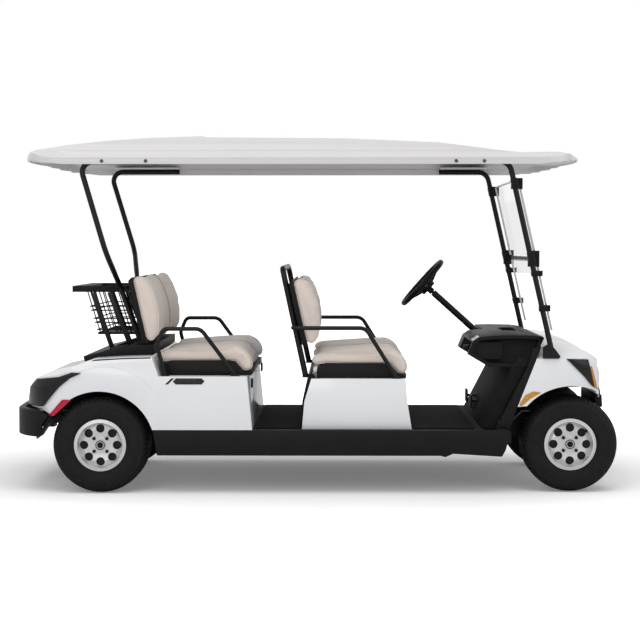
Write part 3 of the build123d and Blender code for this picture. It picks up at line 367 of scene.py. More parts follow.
def dress_cad_nodes():
    """Give every CAD node the finish of its slot."""
    for name, slot in SLOT_OF.items():
        node = frame["nodes"][name]
        node.data.materials.clear()
        node.data.materials.append(MATERIALS[slot])


# ---------------------------------------------------------------------
# Mesh tools
# ---------------------------------------------------------------------
def only(piece):
    """Select and activate one object alone."""
    bpy.ops.object.select_all(action="DESELECT")
    piece.select_set(True)
    bpy.context.view_layer.objects.active = piece


def edit(piece):
    """Open a piece in edit mode with all of it selected."""
    only(piece)
    bpy.ops.object.mode_set(mode="EDIT")
    bpy.ops.mesh.select_mode(type="VERT")
    bpy.ops.mesh.select_all(action="SELECT")


def done():
    """Leave edit mode."""
    bpy.ops.object.mode_set(mode="OBJECT")


def apply_modifier(piece, kind, **settings):
    """Add a modifier, set it and apply it."""
    modifier = piece.modifiers.new(kind.lower(), kind)
    for key, value in settings.items():
        setattr(modifier, key, value)
    only(piece)
    bpy.ops.object.modifier_apply(modifier=modifier.name)


def twin_of(source, name):
    """A plain copy of an object with a mesh of its own."""
    twin = bpy.data.objects.new(name, source.data.copy())
    bpy.context.scene.collection.objects.link(twin)
    return twin


def copy_of(source, name):
    """A copy of a CAD node or piece, merged at its seams."""
    piece = twin_of(source, name)
    edit(piece)
    bpy.ops.mesh.remove_doubles(threshold=0.00002)
    done()
    return piece


def keep_side(piece, point, normal):
    """Cut a closed piece by a plane, keep the side behind the normal and close the cut."""
    edit(piece)
    bpy.ops.mesh.bisect(plane_co=point, plane_no=normal, use_fill=True, clear_outer=True)
    done()


def select_faces(piece, test):
    """Select the faces whose centre and normal pass a test, in face mode."""
    only(piece)
    bpy.ops.object.mode_set(mode="EDIT")
    bpy.ops.mesh.select_mode(type="FACE")
    bpy.ops.mesh.select_all(action="DESELECT")
    done()
    for face in piece.data.polygons:
        face.select = test(face.center, face.normal)
    bpy.ops.object.mode_set(mode="EDIT")


def dress(piece, slot, body="root", angle=35.0):
    """Give a finished piece its finish, its body and its shading."""
    piece.data.materials.clear()
    piece.data.materials.append(MATERIALS[slot])
    only(piece)
    bpy.ops.object.shade_smooth_by_angle(angle=math.radians(angle))
    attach(piece, body)


def merge_flats(piece, angle=0.5):
    """Make whole faces of the loose triangles on flat parts; the angle is in degrees."""
    edit(piece)
    bpy.ops.mesh.dissolve_limited(angle_limit=math.radians(angle))
    bpy.ops.mesh.select_all(action="SELECT")


def round_edges(piece, width, angle=40.0):
    """Round the edges that are sharper than an angle in degrees."""
    apply_modifier(piece, "BEVEL", width=width, segments=2, angle_limit=math.radians(angle))


def join(pieces, name):
    """Make one object of several."""
    bpy.ops.object.select_all(action="DESELECT")
    for piece in pieces:
        piece.select_set(True)
    bpy.context.view_layer.objects.active = pieces[0]
    bpy.ops.object.join()
    pieces[0].name = name
    return pieces[0]


def settle(piece):
    """Put a piece's place, turn and size into its mesh."""
    only(piece)
    bpy.ops.object.transform_apply(location=True, rotation=True, scale=True)


def new_form(add_primitive, **settings):
    """A primitive on its own, with its place, turn and size in its mesh."""
    bpy.ops.object.select_all(action="DESELECT")
    add_primitive(**settings)
    form = bpy.context.object
    settle(form)
    return form


def cylinder(sides, radius, depth, place, rotation=(math.pi / 2, 0, 0)):
    """A cylinder about the cross axis, unless it is turned another way."""
    return new_form(
        bpy.ops.mesh.primitive_cylinder_add,
        vertices=sides,
        radius=radius,
        depth=depth,
        location=place,
        rotation=rotation,
    )


def push(along_y):
    """Extrude the selected faces along the cross axis."""
    bpy.ops.mesh.extrude_region_move(TRANSFORM_OT_translate={"value": (0, along_y, 0)})


def faces_right(spot, normal):
    """Whether a face looks to the cart's right."""
    return normal.y < -0.9


def cord_line(points, radius, name, closed=False, sides=3):
    """A round bar or piping through a list of points, as a mesh."""
    curve = bpy.data.curves.new(name, "CURVE")
    curve.dimensions = "3D"
    line = curve.splines.new("POLY")
    line.points.add(len(points) - 1)
    for spot, point in zip(line.points, points):
        spot.co = (*point, 1.0)
    line.use_cyclic_u = closed
    curve.bevel_depth = radius
    curve.bevel_resolution = sides
    curve.use_fill_caps = not closed
    piece = bpy.data.objects.new(name, curve)
    bpy.context.scene.collection.objects.link(piece)
    only(piece)
    bpy.ops.object.convert(target="MESH")
    return piece


def slab(place, size, edge, name, lean=0.0):
    """A block with rounded edges, leaned about the cross axis."""
    cube_add = bpy.ops.mesh.primitive_cube_add
    piece = new_form(cube_add, size=1.0, location=place, rotation=(0, lean, 0), scale=size)
    piece.name = name
    edit(piece)
    bpy.ops.mesh.bevel(offset=edge, segments=3, affect="EDGES")
    done()
    return piece


# ---------------------------------------------------------------------
# Seats
# ---------------------------------------------------------------------
# How far a row's cushion and pad stand from the front row's.
ROW_SHIFT = {"front": Vector((0, 0, 0)), "rear": Vector((-0.738, 0, 0.013))}
PAD_SHIFT = {"front": Vector((0, 0, 0)), "rear": Vector((-0.768, 0, 0.013))}
VOXEL = 0.006
SWELL_FRAMES = 20
SWELL_PRESSURE = 4.0
CLOTH_STIFFNESS = 20.0
CLOTH_MASS = 0.3
CUSHION_RISE = 0.014
PAD_RISE = 0.010
PAD_LEAN = Vector((-0.047, 0, 0.214)).normalized()
PIPING_R = 0.0038


def swell(piece, cap, rest_side):
    """Blow a closed form up as padded vinyl; its resting side stays where it is."""
    apply_modifier(piece, "REMESH", mode="VOXEL", voxel_size=VOXEL)
    cloth = piece.modifiers.new("cloth", "CLOTH")
    cloth.settings.use_pressure = True
    cloth.settings.uniform_pressure_force = SWELL_PRESSURE
    cloth.settings.mass = CLOTH_MASS
    cloth.settings.tension_stiffness = CLOTH_STIFFNESS
    cloth.settings.compression_stiffness = CLOTH_STIFFNESS
    cloth.settings.effector_weights.gravity = 0.0
    cloth.point_cache.frame_start = 1
    cloth.point_cache.frame_end = SWELL_FRAMES
    for number in range(1, SWELL_FRAMES + 1):
        bpy.context.scene.frame_set(number)
    shaped = piece.evaluated_get(bpy.context.evaluated_depsgraph_get()).data
    resting = Vector(rest_side)
    places = []
    for before, after in zip(piece.data.vertices, shaped.vertices):
        step = after.co - before.co
        if before.normal.dot(resting) > 0.2:
            step -= resting * max(0.0, step.dot(resting))
        if step.length > cap:
            step *= cap / step.length
        places.append(before.co + step)
    piece.modifiers.remove(cloth)
    bpy.context.scene.frame_set(1)
    for vertex, place in zip(piece.data.vertices, places):
        vertex.co = place
    apply_modifier(piece, "SMOOTH", factor=0.5, iterations=12)
    apply_modifier(piece, "SUBSURF", levels=1, render_levels=1)


def seam_loops(piece, planes, name):
    """Piping that follows a piece's surface where it crosses each upright plane."""
    loops = []
    for y in planes:
        cut = copy_of(piece, name)
        edit(cut)
        bpy.ops.mesh.bisect(
            plane_co=(0, y, 0), plane_no=(0, 1, 0), clear_inner=True, clear_outer=True
        )
        bpy.ops.mesh.select_all(action="SELECT")
        bpy.ops.mesh.remove_doubles(threshold=0.002)
        done()
        only(cut)
        bpy.ops.object.convert(target="CURVE")
        cut.data.bevel_depth = PIPING_R
        cut.data.bevel_resolution = 2
        bpy.ops.object.convert(target="MESH")
        loops.append(cut)
    return join(loops, name)


def like(piece, name, shift, mirrored):
    """A copy of a seat part for another place, mirrored across the cart if asked."""
    twin = twin_of(piece, name)
    move = Matrix.Translation(shift)
    if mirrored:
        move = move @ Matrix.Scale(-1.0, 4, (0, 1, 0))
    twin.data.transform(move)
    if mirrored:
        edit(twin)
        bpy.ops.mesh.normals_make_consistent(inside=False)
        done()
    return twin


def one_cushion():
    """The right half of the front row's cushion, crowned, with its piping."""
    cushion = copy_of(frame["nodes"]["seat_cushion_front"], "cushion_form")
    side_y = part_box("seat_cushion_front")[0].y
    keep_side(cushion, (0, -0.004, 0), (0, 1, 0))
    merge_flats(cushion, 2)
    bpy.ops.transform.shrink_fatten(value=0.006)
    bpy.ops.mesh.bevel(offset=0.017, segments=4, affect="EDGES", clamp_overlap=True)
    done()
    swell(cushion, CUSHION_RISE, (0, 0, -1))
    return cushion, seam_loops(cushion, (side_y + 0.020, -0.024), "cushion_piping")


def one_pad():
    """The right pad of the front backrest, with piping near both sides."""
    pad = copy_of(frame["nodes"]["backrest_pads"], "pad_form")
    keep_side(pad, (-0.3, 0, 0), (-1, 0, 0))
    keep_side(pad, (0, 0, 0), (0, 1, 0))
    merge_flats(pad, 2)
    bpy.ops.transform.shrink_fatten(value=0.005)
    bpy.ops.mesh.bevel(offset=0.018, segments=4, affect="EDGES", clamp_overlap=True)
    done()
    swell(pad, PAD_RISE, (-PAD_LEAN.z, 0, PAD_LEAN.x))
    low_y = min(corner[1] for corner in pad.bound_box)
    high_y = max(corner[1] for corner in pad.bound_box)
    return pad, seam_loops(pad, (low_y + 0.018, high_y - 0.018), "pad_piping")


def upholster():
    """Cushions and pads of both rows from one of each."""
    cushion, cushion_seams = one_cushion()
    pad, pad_seams = one_pad()
    for row in ("front", "rear"):
        lid = f"{row}_seat_lid"
        shift, pad_shift = ROW_SHIFT[row], PAD_SHIFT[row]
        for side, out in SIDE_NAMES:
            mirrored = out > 0
            seat = like(cushion, f"cushion_{row}_{side}", shift, mirrored)
            dress(seat, "cushion", lid, 60.0)
            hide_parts(f"seat_cushion_{row}")
            piping = like(cushion_seams, f"cushion_piping_{row}_{side}", shift, mirrored)
            dress(piping, "cushion", lid)
            back = like(pad, f"pad_{row}_{side}", pad_shift, mirrored)
            dress(back, "cushion", "root", 60.0)
            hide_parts("backrest_pads")
            piping = like(pad_seams, f"pad_piping_{row}_{side}", pad_shift, mirrored)
            dress(piping, "cushion", "root")
    for form in (cushion, cushion_seams, pad, pad_seams):
        bpy.data.objects.remove(form)


# ---------------------------------------------------------------------
# Floor
# ---------------------------------------------------------------------
FLOOR_SIZE = 120.0
# Painted light on the floor: its glow for camera rays near the cart, the reach over which that
# glow rises to full white, and how far the cart's length is squeezed in that reach. The weak glow
# near the cart is a painted dim zone round it.
PAINTED_GLOW_NEAR_CART = 0.16
PAINTED_GLOW_REACH = (1.0, 3.2)
PAINTED_GLOW_SQUEEZE = 0.62


def lay_floor():
    """A pale floor that keeps the cart's shadow. Seen by the camera it glows as painted light,
    weakly near the cart and fully white further out, which paints a dim zone round the cart.
    """
    bpy.ops.mesh.primitive_plane_add(size=FLOOR_SIZE, location=(0, 0, -0.0005))
    floor = bpy.context.object
    floor.name = "floor"
    shade = Shade("floor_pale", (0.94, 0.94, 0.94), 0.9)
    rays = shade.node("ShaderNodeLightPath", {}, {}, "Is Camera Ray")
    shade.set("Emission Color", WHITE)
    wide = (shade.axis("X") * PAINTED_GLOW_SQUEEZE) ** 2.0 + shade.axis("Y") ** 2.0
    # Painted glow that rises with the distance from the cart, so the floor round the cart is
    # painted darker.
    painted_glow = PAINTED_GLOW_NEAR_CART + (1.0 - PAINTED_GLOW_NEAR_CART) * shade.ramp(wide**0.5, *PAINTED_GLOW_REACH)
    shade.tree.links.new((rays * painted_glow).socket, shade.shader.inputs["Emission Strength"])
    shade.set("Specular IOR Level", 0.0)
    floor.data.materials.append(shade.material)


# ---------------------------------------------------------------------
# Wheels
# ---------------------------------------------------------------------
# Half of the tyre's section as (y, radius) points, from the bead out to the middle rib.
TYRE_HALF = (
    (0.0878, 0.1175),
    (0.0878, 0.1265),
    (0.0950, 0.1290),
    (0.1000, 0.1325),
    (0.1010, 0.1385),
    (0.1030, 0.1400),
    (0.1062, 0.1530),
    (0.1072, 0.1680),
    (0.1066, 0.1820),
    (0.1050, 0.1850),
    (0.1062, 0.1870),
    (0.1030, 0.1980),
    (0.0985, 0.2070),
    (0.0900, 0.2165),
    (0.0760, 0.2240),
    (0.0600, 0.2275),
    (0.0460, 0.2283),
    (0.0440, 0.2215),
    (0.0380, 0.2215),
    (0.0360, 0.2285),
    (0.0080, 0.2286),
    (0.0060, 0.2220),
)
TYRE_STEPS = 120
HUB_FACE_Y = -0.088
LUG_CIRCLE_R = 0.043
VALVE_TURN = math.radians(-40)
DRUM_HALF = [(-0.0595, 0.1035), (-0.0595, 0.030), (0.010, 0.030), (0.010, 0.1035)]


def lathe(points, centre, steps, name):
    """A closed ring about a cross axle: a circle extruded through (y, radius) points."""
    last_y, last_r = points[0]
    ring = new_form(
        bpy.ops.mesh.primitive_circle_add,
        vertices=steps,
        radius=last_r,
        location=(centre.x, centre.y + last_y, centre.z),
        rotation=(math.pi / 2, 0, 0),
    )
    ring.name = name
    edit(ring)
    for y, r in points[1:] + points[:1]:
        push(y - last_y)
        at = (centre.x, centre.y + y, centre.z)
        bpy.ops.transform.resize(value=(r / last_r, 1, r / last_r), center_override=at)
        last_y, last_r = y, r
    bpy.ops.mesh.select_all(action="SELECT")
    bpy.ops.mesh.remove_doubles(threshold=0.00005)
    bpy.ops.mesh.normals_make_consistent(inside=False)
    done()
    return ring


def turn_step(place, centre, steps):
    """Which of the equal steps about the axle a place falls in."""
    turn = math.atan2(place.z - centre.z, place.x - centre.x) / (2 * math.pi)
    return int((turn % 1.0) * steps)


def tread_tyre():
    """A street tyre at the origin's height: ribs, sipes across them and ribbed shoulders."""
    centre = Vector((0, 0, TYRE_R))
    points = [(-y, r) for y, r in TYRE_HALF] + [(y, r) for y, r in reversed(TYRE_HALF)]
    tyre = lathe(points, centre, TYRE_STEPS, "tyre_form")

    def radius(place):
        return math.hypot(place.x - centre.x, place.z - centre.z)

    def shoulder_slot(place, normal):
        return 0.209 < radius(place) < 0.2268 and turn_step(place, centre, TYRE_STEPS) % 2 == 0

    def rib_sipe(place, normal):
        on_rib = 0.009 < abs(place.y) < 0.035 and radius(place) > 0.2275
        return on_rib and turn_step(place, centre, TYRE_STEPS) % 4 == 1

    for test, depth in ((shoulder_slot, -0.0035), (rib_sipe, -0.004)):
        select_faces(tyre, test)
        bpy.ops.mesh.extrude_region_shrink_fatten(TRANSFORM_OT_shrink_fatten={"value": depth})
        done()
    return tyre


def wheel_face():
    """Small parts of one wheel face that looks to -Y, centred on the axle at the origin."""
    cap = cylinder(48, 0.0225, 0.016, (0, HUB_FACE_Y + 0.008, 0))
    select_faces(cap, faces_right)
    bpy.ops.mesh.inset(thickness=0.004)
    push(0.003)
    bpy.ops.mesh.inset(thickness=0.004)
    push(-0.002)
    bpy.ops.mesh.inset(thickness=0.005)
    done()
    parts = [cap]
    for lug in range(4):
        turn = math.radians(45 + 90 * lug)
        place = (LUG_CIRCLE_R * math.cos(turn), HUB_FACE_Y + 0.014, LUG_CIRCLE_R * math.sin(turn))
        nut = cylinder(6, 0.0085, 0.014, place)
        select_faces(nut, faces_right)
        bpy.ops.mesh.inset(thickness=0.0022)
        push(-0.003)
        bpy.ops.mesh.inset(thickness=0.0015)
        done()
        parts.append(nut)
    return join(parts, "wheel_face_form")


def valve():
    """A rubber valve with its cap, pointing to -Y at the rim's edge."""
    stem = cylinder(16, 0.0065, 0.012, (0.0985, -0.090, 0))
    select_faces(stem, faces_right)
    bpy.ops.mesh.inset(thickness=0.002)
    push(-0.010)
    bpy.ops.mesh.inset(thickness=0.001)
    done()
    stem.name = "valve_form"
    return stem


def placed(form, name, shift, turn=0.0, flip=False):
    """A copy of a wheel part, turned about its axle, faced outwards and moved to its wheel."""
    twin = twin_of(form, name)
    spin = Matrix.Rotation(turn, 4, "Y")
    about = Matrix.Rotation(math.pi, 4, "Z") if flip else Matrix.Identity(4)
    twin.data.transform(Matrix.Translation(shift) @ about @ spin)
    return twin


def fit_wheels():
    """Treaded tyres, hub details, drum shields and valves on all four wheels."""
    tyre = tread_tyre()
    hub = wheel_face()
    stem = valve()
    drum = lathe(DRUM_HALF, Vector((0, 0, 0)), 64, "drum_form")
    ends = (("front", FRONT_AXLE_X, FRONT_TRACK), ("rear", REAR_AXLE_X, REAR_TRACK))
    for end, axle_x, track in ends:
        for side, out in SIDE_NAMES:
            body = f"wheel_{end}_{side}"
            middle = Vector((axle_x, out * track / 2, TYRE_R))
            flip = out > 0
            tread = placed(tyre, f"tyre_tread_{end}_{side}", middle - Vector((0, 0, TYRE_R)))
            dress(tread, "tyre", body, 32.0)
            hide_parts(f"tyre_{end}_{side}")
            cap = placed(hub, f"hub_cap_{end}_{side}", middle, flip=flip)
            dress(cap, "black_plastic", body)
            air = placed(stem, f"valve_{end}_{side}", middle, VALVE_TURN, flip)
            dress(air, "tyre", body)
            shield = placed(drum, f"brake_drum_{end}_{side}", middle, flip=flip)
            dress(shield, "black_steel", body)
    for form in (tyre, hub, stem, drum):
        bpy.data.objects.remove(form)


# ---------------------------------------------------------------------
# Mouldings, roof, basket, windshield and small parts
# ---------------------------------------------------------------------
def soften(node, width):
    """A copy of a moulding with rounded edges, standing for the moulding."""
    piece = copy_of(frame["nodes"][node], f"{node}_moulding")
    merge_flats(piece)
    done()
    round_edges(piece, width)
    dress(piece, SLOT_OF[node], BODY_OF[node], 38.0)
    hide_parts(node)


def strut_x(z):
    """Where the near line of the front roof posts stands at a height."""
    share = (z - STRUT_FOOT[1]) / (STRUT_TOP[1] - STRUT_FOOT[1])
    return STRUT_FOOT[0] + share * (STRUT_TOP[0] - STRUT_FOOT[0])


def bolt_form(radius):
    """A dished round bolt head at the origin that faces -Y."""
    head = cylinder(24, radius, 0.003, (0, -0.0015, 0))
    select_faces(head, faces_right)
    bpy.ops.mesh.inset(thickness=radius * 0.2)
    push(-0.0018)
    bpy.ops.mesh.inset(thickness=radius * 0.35)
    push(0.0016)
    done()
    return head


def bolt_on(radius, places, name, slot):
    """Bolt heads at (place, outward) pairs, as one piece."""
    form = bolt_form(radius)
    heads = []
    for number, (place, outward) in enumerate(places):
        turn = Vector((0, -1, 0)).rotation_difference(Vector(outward)).to_matrix().to_4x4()
        twin = twin_of(form, f"{name}_{number}")
        twin.data.transform(Matrix.Translation(place) @ turn)
        heads.append(twin)
    bpy.data.objects.remove(form)
    dress(join(heads, name), slot)


# How wide the edges of each moulding are rounded.
EDGE_WIDTHS = {
    "rear_body": 0.007,
    "front_seat_base": 0.006,
    "dash_pillars": 0.004,
    "side_sills": 0.006,
    "seat_tray_front": 0.006,
    "seat_tray_rear": 0.006,
    "seat_back_panel": 0.006,
    "rear_bumper": 0.008,
    "front_bumper": 0.008,
    "backrest_shells": 0.005,
    "rear_deck": 0.004,
    "tail_lamps": 0.002,
    "side_badges": 0.001,
}
NOSE_CUTS = (0.46, 0.40, 0.33, 0.25, 0.15)
# Half width of each band of the nose, and the share of its depth that it keeps.
NOSE_STEPS = ((0.465, 0.91), (0.405, 0.97), (0.335, 0.97), (0.255, 0.97))
NOSE_BACK_X = 1.20
NOSE_WIDTHS = {"front_cowl": 0.007, "headlamps": 0.002, "front_markers": 0.001}


def shape_nose(node, bevel):
    """The cowl or a lamp that lies on it, with the flatter nose that they share."""
    piece = copy_of(frame["nodes"][node], f"{node}_moulding")
    merge_flats(piece)
    for cut in NOSE_CUTS:
        for y in (-cut, cut):
            bpy.ops.mesh.select_all(action="SELECT")
            bpy.ops.mesh.bisect(plane_co=(0, y, 0), plane_no=(0, 1, 0))
    done()
    for half, share in NOSE_STEPS:
        edit(piece)
        bpy.ops.mesh.select_all(action="DESELECT")
        done()
        for corner in piece.data.vertices:
            corner.select = corner.co.x > NOSE_BACK_X and abs(corner.co.y) < half
        bpy.ops.object.mode_set(mode="EDIT")
        bpy.ops.transform.resize(value=(share, 1, 1), center_override=(NOSE_BACK_X, 0, 0))
        done()
    round_edges(piece, bevel)
    dress(piece, SLOT_OF[node], "root", 45.0)
    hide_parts(node)


ROOF_CUTS = (0.03, 0.06, 0.10, 0.14, 0.19, 0.25, 0.32)
ROOF_CUTS_Y = (-0.52, -0.4, -0.25, 0, 0.25, 0.4, 0.52)
# Reach of each band from the roof's end, and the share of its height that it keeps.
ROOF_STEPS = ((0.20, 0.85), (0.15, 0.85), (0.105, 0.80), (0.065, 0.75), (0.035, 0.70))
ROOF_EDGE_Z = ROOF_LIP_Z + 0.048


def shape_roof():
    """The roof with both ends drawn in to a thin edge."""
    low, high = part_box("roof")
    ends = ((low.x, 1), (high.x, -1))
    roof = copy_of(frame["nodes"]["roof"], "roof_moulding")
    merge_flats(roof)
    for end, inward in ends:
        for step in ROOF_CUTS:
            bpy.ops.mesh.select_all(action="SELECT")
            bpy.ops.mesh.bisect(plane_co=(end + inward * step, 0, 0), plane_no=(1, 0, 0))
    for y in ROOF_CUTS_Y:
        bpy.ops.mesh.select_all(action="SELECT")
        bpy.ops.mesh.bisect(plane_co=(0, y, 0), plane_no=(0, 1, 0))
    done()
    for end, inward in ends:
        for reach, share in ROOF_STEPS:
            edit(roof)
            bpy.ops.mesh.select_all(action="DESELECT")
            done()
            for corner in roof.data.vertices:
                corner.select = inward * (corner.co.x - end) < reach
            bpy.ops.object.mode_set(mode="EDIT")
            bpy.ops.transform.resize(value=(1, 1, share), center_override=(end, 0, ROOF_EDGE_Z))
            done()
    round_edges(roof, 0.006, 35)
    dress(roof, "roof_white", "root", 42.0)
    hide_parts("roof")


def fasten_roof():
    """Bolts along the roof's lip, two each side front and back."""
    spots = []
    for out in SIDES:
        for x in (-0.997, -0.790, 0.669, 0.801):
            spots.append(((x, out * (BODY_W / 2 - 0.001), ROOF_LIP_Z + 0.014), (0, out, 0)))
    bolt_on(0.0085, spots, "roof_bolts", "engine_metal")


WIRE_R = 0.0031
BASKET_HALF_W = 0.3075
BASKET_LEAN = 0.066 / 0.216
BASKET_RIM_Z = 0.958
BASKET_BACK_X = -1.1255
BASKET_FRONT_X = -0.9365
LOOP_HEIGHTS = (0.880, 0.860, 0.820, 0.800, 0.765, 0.750)
SIDE_WIRES_X = (-1.098, -1.080, -1.030, -1.012, -0.962, -0.944)
WIRE_TOP_Z = 0.953
WIRE_FOOT_Z = 0.744
POST_TOP_Z = 0.948
# Each post's top x and foot x behind the rear axle, and its foot's height.
POST_LINES = ((-0.070, 0.024, 0.6769), (0.012, 0.111, 0.6964))


def wall_x(z, start):
    """Where a basket wall that starts at the rim stands at a height."""
    return start + (BASKET_RIM_Z - z) * BASKET_LEAN


def weave_basket():
    """The basket's rim and floor with paired wires between them."""
    rim = copy_of(frame["nodes"]["basket"], "basket_rim")
    keep_side(rim, (0, 0, 0.9495), (0, 0, -1))
    round_edges(rim, 0.004)
    tray = copy_of(frame["nodes"]["basket"], "basket_tray")
    keep_side(tray, (0, 0, 0.7475), (0, 0, 1))
    half = BASKET_HALF_W
    wires = []
    for z in LOOP_HEIGHTS:
        back, front = wall_x(z, BASKET_BACK_X), wall_x(z, BASKET_FRONT_X)
        loop = [(back, -half, z), (front, -half, z), (front, half, z), (back, half, z)]
        wires.append(cord_line(loop, WIRE_R, "wire", closed=True, sides=2))
    for out in SIDES:
        for x in SIDE_WIRES_X:
            foot = (wall_x(WIRE_FOOT_Z, x), out * half, WIRE_FOOT_Z)
            wires.append(cord_line([(x, out * half, WIRE_TOP_Z), foot], WIRE_R, "wire", sides=2))
    for step in range(5):
        y = -0.240 + step * 0.120
        for x in (BASKET_BACK_X, BASKET_FRONT_X):
            top = (wall_x(WIRE_TOP_Z, x), y, WIRE_TOP_Z)
            foot = (wall_x(WIRE_FOOT_Z, x), y, WIRE_FOOT_Z)
            wires.append(cord_line([top, foot], WIRE_R, "wire", sides=2))
    basket = join([rim, tray] + wires, "basket_wires")
    dress(basket, "black_plastic")
    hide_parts("basket")


def fit_basket_posts():
    """The flat bars that carry the basket, two each side."""
    posts = []
    for out in SIDES:
        for top_x, foot_x, foot_z in POST_LINES:
            across, up = top_x - foot_x, POST_TOP_Z - foot_z
            middle_x, middle_z = (top_x + foot_x) / 2, (POST_TOP_Z + foot_z) / 2
            place = (REAR_AXLE_X + middle_x, out * 0.320, middle_z)
            size = (0.024, 0.010, math.hypot(across, up))
            posts.append(slab(place, size, 0.003, "post", math.atan2(across, up)))
    flat_posts = join(posts, "basket_flat_posts")
    dress(flat_posts, "black_steel")
    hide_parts("basket_posts")


PANE_X = 0.0265
PANE_Y = STRUT_Y - 0.032
# Low and high edge of the panes; height and depth of the cross strips and clamps.
PANES = ((0.774, 1.104), (1.126, 1.494))
CROSS_STRIPS = ((1.110, 0.020), (1.490, 0.008))
CLAMPS = ((1.470, 0.050), (1.115, 0.070), (1.045, 0.026), (0.880, 0.030))
CLAMP_X = 0.002
CLAMP_BOLTS_Z = (1.470, 1.130, 1.100, 0.880)


def fit_windshield():
    """Edge strips, a hinge strip, post clamps and bolts round the two panes."""
    lean = math.atan2(STRUT_TOP[0] - STRUT_FOOT[0], STRUT_TOP[1] - STRUT_FOOT[1])
    strips = []
    for low, high in PANES:
        middle = (low + high) / 2
        for out in SIDES:
            place = (strut_x(middle) + PANE_X, out * PANE_Y, middle)
            size = (0.010, 0.006, (high - low) / math.cos(lean))
            strips.append(slab(place, size, 0.0015, "strip", lean))
    for z, height in CROSS_STRIPS:
        place = (strut_x(z) + PANE_X, 0, z)
        strips.append(slab(place, (0.010, 2 * PANE_Y, height), 0.003, "strip", lean))
    dress(join(strips, "windshield_strips"), "rim")
    clamps = []
    for z, height in CLAMPS:
        for out in SIDES:
            place = (strut_x(z) + CLAMP_X, out * STRUT_Y, z)
            clamps.append(slab(place, (0.033, 0.033, height), 0.006, "clamp", lean))
    dress(join(clamps, "post_clamps"), "black_plastic")
    spots = []
    for z in CLAMP_BOLTS_Z:
        for out in SIDES:
            spots.append(((strut_x(z) + CLAMP_X, out * (STRUT_Y + 0.016), z), (0, out, 0)))
    bolt_on(0.006, spots, "clamp_bolts", "black_steel")


POCKET_RIM = 0.017
POCKET_DEPTH = 0.060


def hollow_dash():
    """The dash with a pocket in each end, and the toe board below it."""
    dash = copy_of(frame["nodes"]["dash"], "dash_moulding")
    merge_flats(dash)
    done()
    for out in SIDES:
        select_faces(dash, lambda spot, normal: out * normal.y > 0.9 and out * spot.y > 0.535)
        bpy.ops.mesh.inset(thickness=POCKET_RIM)
        push(-out * POCKET_DEPTH)
        done()
    round_edges(dash, 0.006)
    dress(dash, "black_plastic")
    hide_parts("dash")
    board = copy_of(frame["nodes"]["toe_board"], "toe_board_moulding")
    round_edges(board, 0.004)
    dress(board, "floor_plastic")
    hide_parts("toe_board")


ARCH_STEPS = 24
ARCH_FROM = 20
ARCH_SWEEP = 100
ARCH_R = 0.352
ARCH_BULGE = 0.030
CREASE_R = 0.0028


def line_arches():
    """The raised crease that runs round each rear wheel arch on the body's side."""
    creases = []
    for out in SIDES:
        line = []
        for step in range(ARCH_STEPS + 1):
            turn = math.radians(ARCH_FROM + ARCH_SWEEP * step / ARCH_STEPS)
            reach = ARCH_R + ARCH_BULGE * math.sin(math.radians(180 * step / ARCH_STEPS))
            x = REAR_AXLE_X + reach * math.cos(turn)
            z = TYRE_R + reach * math.sin(turn)
            line.append((x, out * (BODY_W / 2 - 0.0012), z))
        creases.append(cord_line(line, CREASE_R, "crease"))
    dress(join(creases, "arch_creases"), "body_white")


def pair(name, slot, place, size, edge, lean=0.0):
    """The same small block on both sides of the cart."""
    x, y, z = place
    blocks = [slab((x, out * y, z), size, edge, name, lean) for out in SIDES]
    dress(join(blocks, name), slot)


def fit_brackets():
    """Splash guards behind the rear wheels and brackets under the front seat base."""
    guard_place = (-1.278, 0.490, 0.322)
    pair("splash_guards", "black_plastic", guard_place, (0.008, 0.170, 0.150), 0.003, 0.586)
    pair("seat_base_brackets", "black_steel", (0.002, 0.535, 0.538), (0.043, 0.034, 0.018), 0.003)


STEERING_HUB = Vector((0.561, 0.300, 0.982))
COLUMN_TILT = math.radians(42)
COLUMN_DOWN = Vector((math.cos(COLUMN_TILT), 0, -math.sin(COLUMN_TILT)))


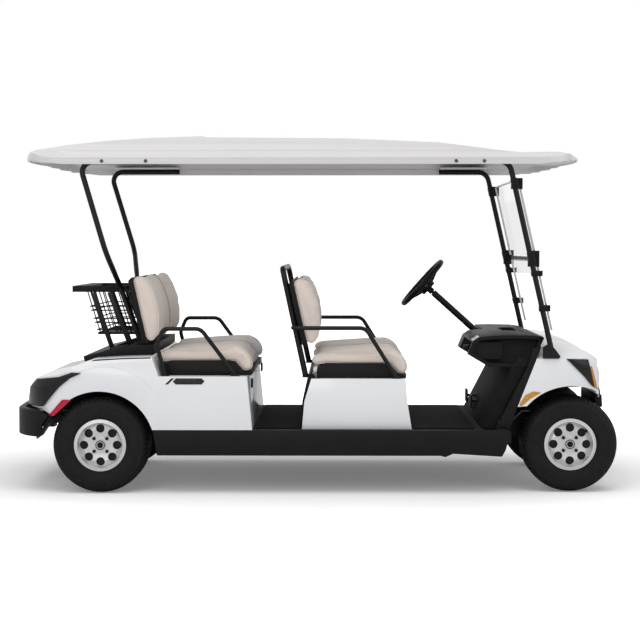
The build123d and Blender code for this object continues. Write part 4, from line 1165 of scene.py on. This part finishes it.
def fit_controls():
    """The column's sleeve and horn pad, the key switch and the dash's corner trim."""
    ends = [STEERING_HUB + COLUMN_DOWN * reach for reach in (0.046, 0.072)]
    dress(cord_line(ends, 0.0165, "column_sleeve", sides=6), "black_plastic", "steering_wheel")
    middle = STEERING_HUB + COLUMN_DOWN * 0.018
    horn = slab(middle, (0.085, 0.100, 0.024), 0.008, "horn_pad", -0.838)
    dress(horn, "black_plastic", "steering_wheel")
    trim_place = (0.7725, -0.470, 0.7335)
    trim = slab(trim_place, (0.036, 0.100, 0.006), 0.002, "dash_corner_trim", -0.604)
    dress(trim, "rim")
    switch = slab((0.735, -0.440, 0.690), (0.030, 0.022, 0.022), 0.006, "key_switch")
    dress(switch, "black_steel")


def fit_leaves():
    """Hinge leaves under the rear seat, webs beside the dash and beads on the roof."""
    pair("rear_hinge_leaves", "black_steel", (-0.297, 0.500, 0.520), (0.010, 0.050, 0.044), 0.003)
    web_place = (0.985, 0.530, 0.540)
    pair("dash_side_webs", "black_plastic", web_place, (0.110, 0.006, 0.190), 0.002, 0.43)
    bead_place = (-0.080, 0.5995, ROOF_LIP_Z + 0.029)
    pair("roof_beads", "roof_white", bead_place, (2.380, 0.005, 0.005), 0.002)


def ring_cups():
    """A raised ring round each cup holder in the dash's top."""
    rings = []
    for y in (-0.060, 0.050):
        ring = cylinder(48, 0.045, 0.008, (0.975, y, 0.753), (0, 0, 0))
        select_faces(ring, lambda spot, normal: abs(normal.z) > 0.9)
        bpy.ops.mesh.inset(thickness=0.0075)
        bpy.ops.mesh.delete(type="FACE")
        done()
        edit(ring)
        bpy.ops.mesh.select_mode(type="EDGE")
        bpy.ops.mesh.select_non_manifold()
        bpy.ops.mesh.bridge_edge_loops()
        bpy.ops.mesh.select_all(action="SELECT")
        bpy.ops.mesh.normals_make_consistent(inside=False)
        done()
        rings.append(ring)
    dress(join(rings, "cup_rings"), "black_plastic")


place_camera()
light_the_studio()
lay_floor()
dress_cad_nodes()
upholster()
fit_wheels()
for node, width in EDGE_WIDTHS.items():
    soften(node, width)
hollow_dash()
for node, width in NOSE_WIDTHS.items():
    shape_nose(node, width)
shape_roof()
fasten_roof()
weave_basket()
fit_basket_posts()
fit_windshield()
line_arches()
fit_brackets()
fit_controls()
fit_leaves()
ring_cups()

bpy.context.scene.view_settings.view_transform = "Standard"
